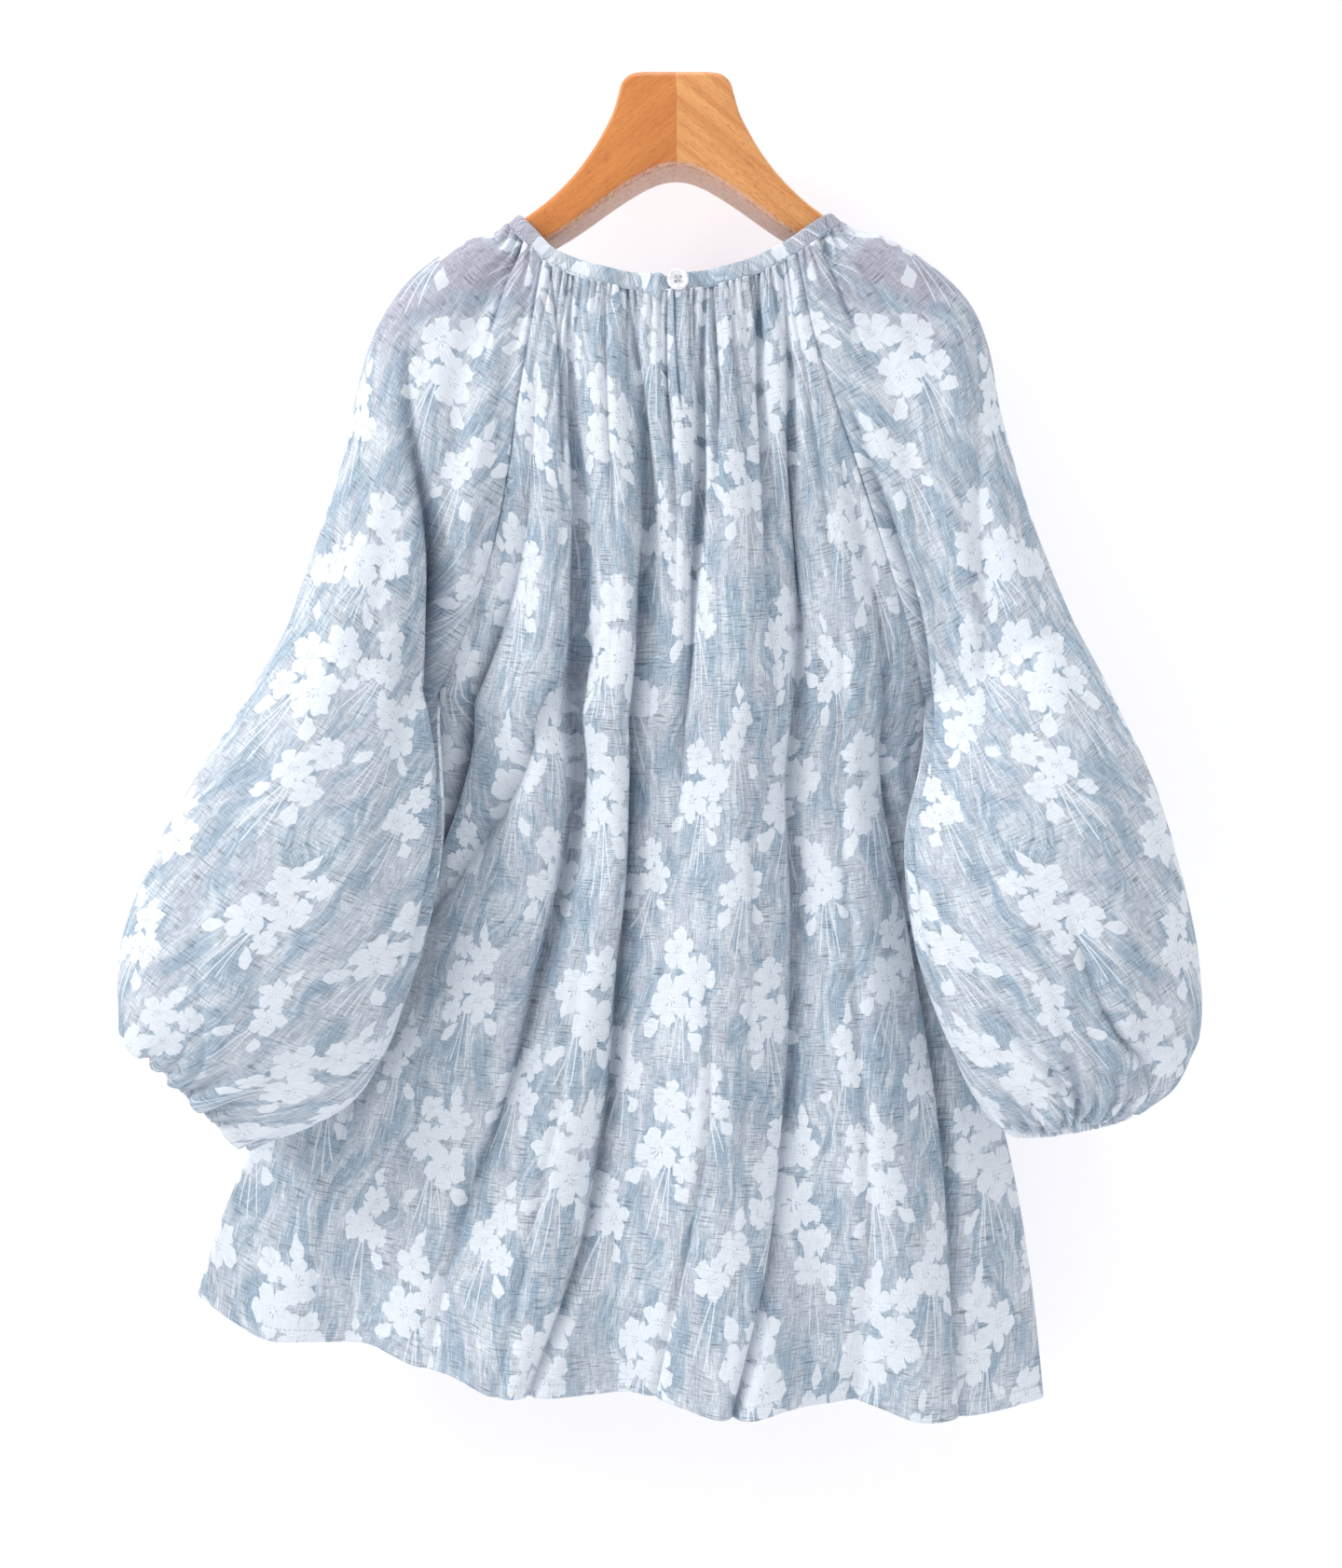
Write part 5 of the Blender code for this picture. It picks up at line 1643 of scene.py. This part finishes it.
def rounded_outline(half_height, half_depth, radius):
    """Rectangles with round corners, as (up, deep) pairs going round each once."""
    radius = np.minimum(radius, 0.98 * np.minimum(half_height, half_depth))
    radius = radius[:, None, None, None]
    corner = np.array(((1, 1), (-1, 1), (-1, -1), (1, -1)))[:, None]
    angle = np.radians(90 * (np.arange(4)[:, None] + np.linspace(0, 1, CORNER_STEPS)))
    arc = np.stack([np.cos(angle), np.sin(angle)], axis=-1)
    half = np.stack([half_height, half_depth], axis=-1)[:, None, None]
    outline = corner * (half - radius) + radius * arc[None]
    return outline.reshape(len(half_height), -1, 2)


def hanger_half(side, sizes, finish):
    """One half: rounded sections between the upper and lower edges, closed at both ends."""
    arm = np.linspace(HANGER_START, HANGER.rows[-1, 0], HANGER_STATIONS)
    station = np.concatenate([GLUE_STATIONS, arm])
    upper_x, upper_z, lower_x, lower_z, half_depth = (
        HANGER.at(name, station) for name in HANGER.columns[1:]
    )
    upper = np.stack([upper_x, 0 * upper_x, upper_z], axis=-1)
    lower = np.stack([lower_x, 0 * lower_x, lower_z], axis=-1)
    across = (upper - lower) / 2
    half_height = np.linalg.norm(across, axis=-1)
    outline = rounded_outline(half_height, half_depth, sizes.hanger_edge / MM)
    rings = ((upper + lower) / 2)[:, None] + outline[..., :1] * unit(across)[:, None]
    rings[..., 1] += outline[..., 1]
    rings[0, :, 0] = GLUE_LINE / 2
    if side == "left":
        rings[..., 0] *= -1
    slot = "wood_dark" if side == "left" else "wood_light"
    half = tube("beech_" + side, rings, finish, ["hanger_" + side])
    half.data.set_sharp_from_angle(angle=SHARP_ANGLE)


# ---------------------------------------------------------------------------------------------
# Sizes and colours that a user would change
# ---------------------------------------------------------------------------------------------


def size(name, description, millimetres, low=0.0):
    """A length property, in metres."""
    return FloatProperty(
        name=name, description=description, default=millimetres * MM, min=low * MM,
        unit="LENGTH", precision=5,
    )


def depth(name, description, millimetres):
    """A fold's depth, in millimetres as the shape functions take it."""
    return FloatProperty(
        name=name, description=description + ", in millimetres", default=millimetres, min=0.0
    )


def colour(name, description, red, green, blue):
    """A colour property, from a display colour."""
    return FloatVectorProperty(
        name=name, description=description, default=tone(red, green, blue), size=4,
        min=0.0, max=1.0, subtype="COLOR",
    )


class BlouseSizes(PropertyGroup):
    cloth_wall: size("Cloth thickness", "Thickness of the thin woven cloth", 0.5, 0.1)
    stitch_pitch: size("Stitch pitch", "From one stitch to the next", 2.9, 1.0)
    stitch_length: size("Stitch length", "Length of one stitch", 2.1, 0.5)
    stitch_radius: size("Thread radius", "Half the thickness of the thread", 0.22, 0.05)
    hanger_edge: size("Hanger edge radius", "Rounding of the hanger's long edges", 4.0, 0.5)
    gather_depth: depth("Neck gather depth", "Depth of the neck's gathers", 4.6)
    cuff_gather_depth: depth("Cuff gather depth", "Depth of the cuffs' gathers", 4.8)
    crease_depth: depth("Crease depth", "Height of the small soft creases", 0.55)


class BlousePrint(PropertyGroup):
    blue: colour("Blue", "Blue streaks of the ground", 160, 178, 193)
    grey: colour("Grey", "Lilac-grey streaks of the ground", 196, 201, 210)
    pale: colour("Pale", "Pale streaks of the ground", 221, 227, 232)
    flower: colour("Blossom", "Blossoms, leaves and stems", 227, 233, 239)
    # Painted see-through shade of the hanger's arms behind the thin cloth
    painted_arm_shade: colour("Over the hanger", "The cloth's tint where wood shows through", 172, 169, 182)
    mark: colour("Blossom marks", "Middles of the blossoms and gaps between petals", 168, 181, 194)


class BlouseFinish(PropertyGroup):
    thread: colour("Thread", "Light side of the sewing thread", 214, 222, 231)
    # Painted shade of the thread: the dark bands between its plies
    thread_ply_shade: colour("Thread shade", "Dark side of the sewing thread", 168, 182, 198)
    button: colour("Button", "Button plastic", 248, 248, 247)
    button_shade: colour("Button clouds", "Pearly clouds in the button", 222, 225, 228)
    left_light: colour("Left half", "Light wood of the left half", 218, 138, 67)
    left_dark: colour("Left half grain", "Grain of the left half", 192, 108, 45)
    right_light: colour("Right half", "Light wood of the right half", 234, 168, 102)
    right_dark: colour("Right half grain", "Grain of the right half", 203, 126, 66)
    # Painted light: the lighter pinkish tone of the faces turned down under the arch
    painted_underside_light: colour("Underside", "Underside of the arch", 234, 188, 162)


class BlouseStage(PropertyGroup):
    wall_place: FloatProperty(
        name="Backdrop", description="How far behind the hanger the backdrop stands", default=0.056,
        unit="LENGTH",
    )
    camera_place: FloatVectorProperty(
        name="Camera", description="Where the camera stands", default=(-0.003, -1.25, -0.411),
        size=3, subtype="TRANSLATION", unit="LENGTH",
    )
    lens: FloatProperty(name="Lens", description="Focal length", default=49.1, min=10.0)
    key_power: FloatProperty(
        name="Key light", description="Power of the upper left light", default=36.0,
        min=0.0, unit="POWER",
    )
    top_power: FloatProperty(
        name="Top light", description="Power of the light above", default=24.0, min=0.0,
        unit="POWER",
    )
    surround: FloatProperty(
        name="Surround", description="Brightness of the light from all round", default=0.79,
        min=0.0,
    )
    floor_height: FloatProperty(
        name="Floor", description="Height of the floor", default=-1.15, unit="LENGTH"
    )


# ---------------------------------------------------------------------------------------------
# Operators
# ---------------------------------------------------------------------------------------------


def finish_named(name, make):
    """The material of that name, made once."""
    return bpy.data.materials.get(name) or make()


def print_finish(scene):
    return finish_named("Printed cloth", lambda: printed_cloth(scene.blouse_print))


def thread_finish(scene):
    return finish_named("Sewing thread", lambda: sewing_thread(scene.blouse_finish))


class BLOUSE_OT_clear(Operator):
    """Removes the objects of Blender's start-up scene"""

    bl_idname = "blouse.clear"
    bl_label = "Clear Start-up Objects"

    def execute(self, context):
        for name in ("Cube", "Light", "Camera"):
            if name in bpy.data.objects:
                bpy.data.objects.remove(bpy.data.objects[name])
        return {"FINISHED"}


class BLOUSE_OT_body(Operator):
    """Makes the back and front panels with their hems"""

    bl_idname = "blouse.body"
    bl_label = "Body Panels"

    def execute(self, context):
        scene = context.scene
        for panel in ("back", "front"):
            body_panel(panel, scene.blouse_sizes, print_finish(scene))
        return {"FINISHED"}


class BLOUSE_OT_sleeves(Operator):
    """Makes both lantern sleeves and their elastic cuffs"""

    bl_idname = "blouse.sleeves"
    bl_label = "Sleeves and Cuffs"

    def execute(self, context):
        scene = context.scene
        for side in ("left", "right"):
            sleeve(side, scene.blouse_sizes, print_finish(scene))
            cuff(side, scene.blouse_sizes, print_finish(scene))
        return {"FINISHED"}


class BLOUSE_OT_binding(Operator):
    """Makes the neck binding"""

    bl_idname = "blouse.binding"
    bl_label = "Neck Binding"

    def execute(self, context):
        neck_binding(print_finish(context.scene))
        return {"FINISHED"}


class BLOUSE_OT_stitches(Operator):
    """Makes the stitches of the hem, the slit and the neck binding"""

    bl_idname = "blouse.stitches"
    bl_label = "Stitches"

    def execute(self, context):
        scene = context.scene
        for make in (hem_stitches, slit_stitches, binding_stitches):
            make(scene.blouse_sizes, thread_finish(scene))
        return {"FINISHED"}


class BLOUSE_OT_button(Operator):
    """Makes the button and its threads, and finishes its shank and loop"""

    bl_idname = "blouse.button"
    bl_label = "Button"

    def execute(self, context):
        scene = context.scene
        thread = thread_finish(scene)
        plastic = finish_named("Button plastic", lambda: button_plastic(scene.blouse_finish))
        button(plastic, thread)
        for node in ("button_shank", "button_loop"):
            for slot in bpy.data.objects[node].material_slots:
                slot.material = thread
        return {"FINISHED"}


class BLOUSE_OT_hanger(Operator):
    """Makes both halves of the wooden hanger"""

    bl_idname = "blouse.hanger"
    bl_label = "Hanger"

    def execute(self, context):
        scene = context.scene
        finish = scene.blouse_finish
        sizes = scene.blouse_sizes
        woods = {
            "left": (finish.left_light, finish.left_dark, HANGER_GRAIN_SLOPE, 0.10),
            "right": (finish.right_light, finish.right_dark, -HANGER_GRAIN_SLOPE, 0.30),
        }
        for side, (light, dark, slope, lines) in woods.items():
            wood = beech("Beech " + side, light, dark, finish.painted_underside_light, slope, lines)
            hanger_half(side, sizes, wood)
        return {"FINISHED"}


class BLOUSE_OT_declare(Operator):
    """Works out the flat cut widths of the cloth before it was sewn and hung, and keeps nothing"""

    bl_idname = "blouse.declare"
    bl_label = "Cut Sizes"

    def execute(self, context):
        down = np.linspace(0, 1, 201)
        extras = {
            "back_cloth": ["neck_binding_cloth", "hem_stitches", "slit_stitches",
                           "binding_stitches"],
            "front_cloth": [],
            "sleeve_left_cloth": ["cuff_left_cloth"],
            "sleeve_right_cloth": ["cuff_right_cloth"],
        }
        for name, on_it in extras.items():
            part, length = (
                ("sleeve", SLEEVE_LENGTH) if "sleeve" in name else ("body", BODY_LENGTH + HEM_DEPTH)
            )
            widths = CUT_WIDTH.at(part, down)
        return {"FINISHED"}


class BLOUSE_OT_stage(Operator):
    """Makes the floor, the backdrop, the lights and the camera"""

    bl_idname = "blouse.stage"
    bl_label = "Stage"

    def execute(self, context):
        scene = context.scene
        stage = scene.blouse_stage
        add_floor(scene, stage.floor_height)
        add_backdrop(scene, stage)
        add_lights(scene, stage)
        camera_data = bpy.data.cameras.new("View")
        camera_data.lens = stage.lens
        camera_data.sensor_width = 36.0
        camera_data.clip_end = 50.0
        camera = bpy.data.objects.new("View", camera_data)
        camera.location = stage.camera_place
        camera.rotation_euler = (math.radians(90), 0, 0)
        scene.collection.objects.link(camera)
        scene.camera = camera
        scene.view_settings.view_transform = "Standard"
        return {"FINISHED"}


# The stage's reach in metres: to either side, forwards, backwards and upwards
STAGE_SIDE = 1.5
STAGE_FRONT = -1.6
STAGE_BACK = 0.7
STAGE_TOP = 1.2


def stage_sheet(scene, name, first, second, finish):
    """A flat sheet across the stage, between two edges that run along x, each at (y, z)."""
    corners = [(side * STAGE_SIDE, *first) for side in (-1, 1)]
    corners += [(side * STAGE_SIDE, *second) for side in (1, -1)]
    mesh = bpy.data.meshes.new(name)
    mesh.from_pydata(corners, [], [(0, 1, 2, 3)])
    mesh.materials.append(finish)
    sheet = bpy.data.objects.new(name, mesh)
    scene.collection.objects.link(sheet)


def add_floor(scene, low):
    """A plain pale floor below the garment."""
    made, tree, shader = new_material("Pale floor", {"Roughness": 0.9})
    shade = noise_field(tree, object_place(tree), (240, 240, 240), 2.0, flat=False)
    paint = mixed(tree, shade, tone(240, 240, 242), tone(247, 247, 249))
    plug(tree, shader.inputs["Base Color"], paint)
    stage_sheet(scene, "floor", (STAGE_FRONT, low), (STAGE_BACK, low), made)


def add_backdrop(scene, stage):
    """A white backdrop behind the garment, which takes its soft shadow. It glows a little, so that
    its unshaded parts are white, and from behind it can be seen through."""
    glow = {"Emission Color": (0.94, 0.86, 1.0, 1.0), "Emission Strength": 0.66}
    settings = {"Roughness": 0.9, "Specular IOR Level": 0.0, **glow}
    made, tree, shader = new_material("White backdrop", settings)
    shade = noise_field(tree, object_place(tree), (300, 300, 300), 1.0, flat=False)
    paint = mixed(tree, shade, (0.44, 0.50, 0.41, 1.0), (0.46, 0.52, 0.43, 1.0))
    plug(tree, shader.inputs["Base Color"], paint)
    open_side = new_node(tree, "BsdfTransparent")
    behind = new_node(tree, "NewGeometry").outputs["Backfacing"]
    both = mixed_shaders(tree, behind, shader.outputs[0], open_side.outputs[0])
    plug(tree, tree.nodes["Material Output"].inputs[0], both)
    foot, top = (stage.wall_place, stage.floor_height), (stage.wall_place, STAGE_TOP)
    stage_sheet(scene, "backdrop", foot, top, made)


def add_lights(scene, stage):
    """A soft light from the upper left, a weak one from above, and white all round, which is
    brighter where the camera sees it than where it lights the cloth."""
    for name, place, power, width in (
        ("Key", (-2.2, -1.05, 1.15), stage.key_power, 0.8),
        ("Top", (-0.3, -0.7, 2.4), stage.top_power, 1.0),
    ):
        light = bpy.data.lights.new(name, "AREA")
        light.energy = power
        light.shape = "SQUARE"
        light.size = width
        lamp = bpy.data.objects.new(name, light)
        lamp.location = place
        aim = Vector((0, 0, -0.4)) - Vector(place)
        lamp.rotation_euler = aim.to_track_quat("-Z", "Y").to_euler()
        scene.collection.objects.link(lamp)
    world = bpy.data.worlds.new("Surround")
    scene.world = world
    world.use_nodes = True
    tree = world.node_tree
    lit = tree.nodes["Background"]
    lit.inputs["Color"].default_value = tone(250, 251, 255)
    lit.inputs["Strength"].default_value = stage.surround
    seen = new_node(tree, "Background", {"Color": tone(253, 253, 254)})
    to_camera = new_node(tree, "LightPath").outputs["Is Camera Ray"]
    both = mixed_shaders(tree, to_camera, lit.outputs[0], seen.outputs[0])
    plug(tree, tree.nodes["World Output"].inputs[0], both)


# ---------------------------------------------------------------------------------------------
# Sidebar, registration and main
# ---------------------------------------------------------------------------------------------

STEPS = (
    BLOUSE_OT_clear,
    BLOUSE_OT_hanger,
    BLOUSE_OT_body,
    BLOUSE_OT_sleeves,
    BLOUSE_OT_binding,
    BLOUSE_OT_stitches,
    BLOUSE_OT_button,
    BLOUSE_OT_declare,
    BLOUSE_OT_stage,
)
GROUPS = {
    "blouse_sizes": BlouseSizes,
    "blouse_print": BlousePrint,
    "blouse_finish": BlouseFinish,
    "blouse_stage": BlouseStage,
}


class BLOUSE_PT_sidebar(Panel):
    """Lists the blouse's steps, sizes and colours"""

    bl_idname = "BLOUSE_PT_sidebar"
    bl_label = "Lantern Sleeve Blouse"
    bl_space_type = "VIEW_3D"
    bl_region_type = "UI"
    bl_category = "Blouse"

    def draw(self, context):
        for step in STEPS:
            self.layout.operator(step.bl_idname)
        for name, group in GROUPS.items():
            box = self.layout.box()
            for prop in group.__annotations__:
                box.prop(getattr(context.scene, name), prop)


CLASSES = (*GROUPS.values(), *STEPS, BLOUSE_PT_sidebar)


def register():
    for made in CLASSES:
        bpy.utils.register_class(made)
    for name, group in GROUPS.items():
        setattr(bpy.types.Scene, name, PointerProperty(type=group))


def unregister():
    for name in GROUPS:
        delattr(bpy.types.Scene, name)
    for made in reversed(CLASSES):
        bpy.utils.unregister_class(made)


def main():
    register()
    for step in STEPS:
        group, name = step.bl_idname.split(".")
        getattr(getattr(bpy.ops, group), name)()


if __name__ == "__main__":
    main()
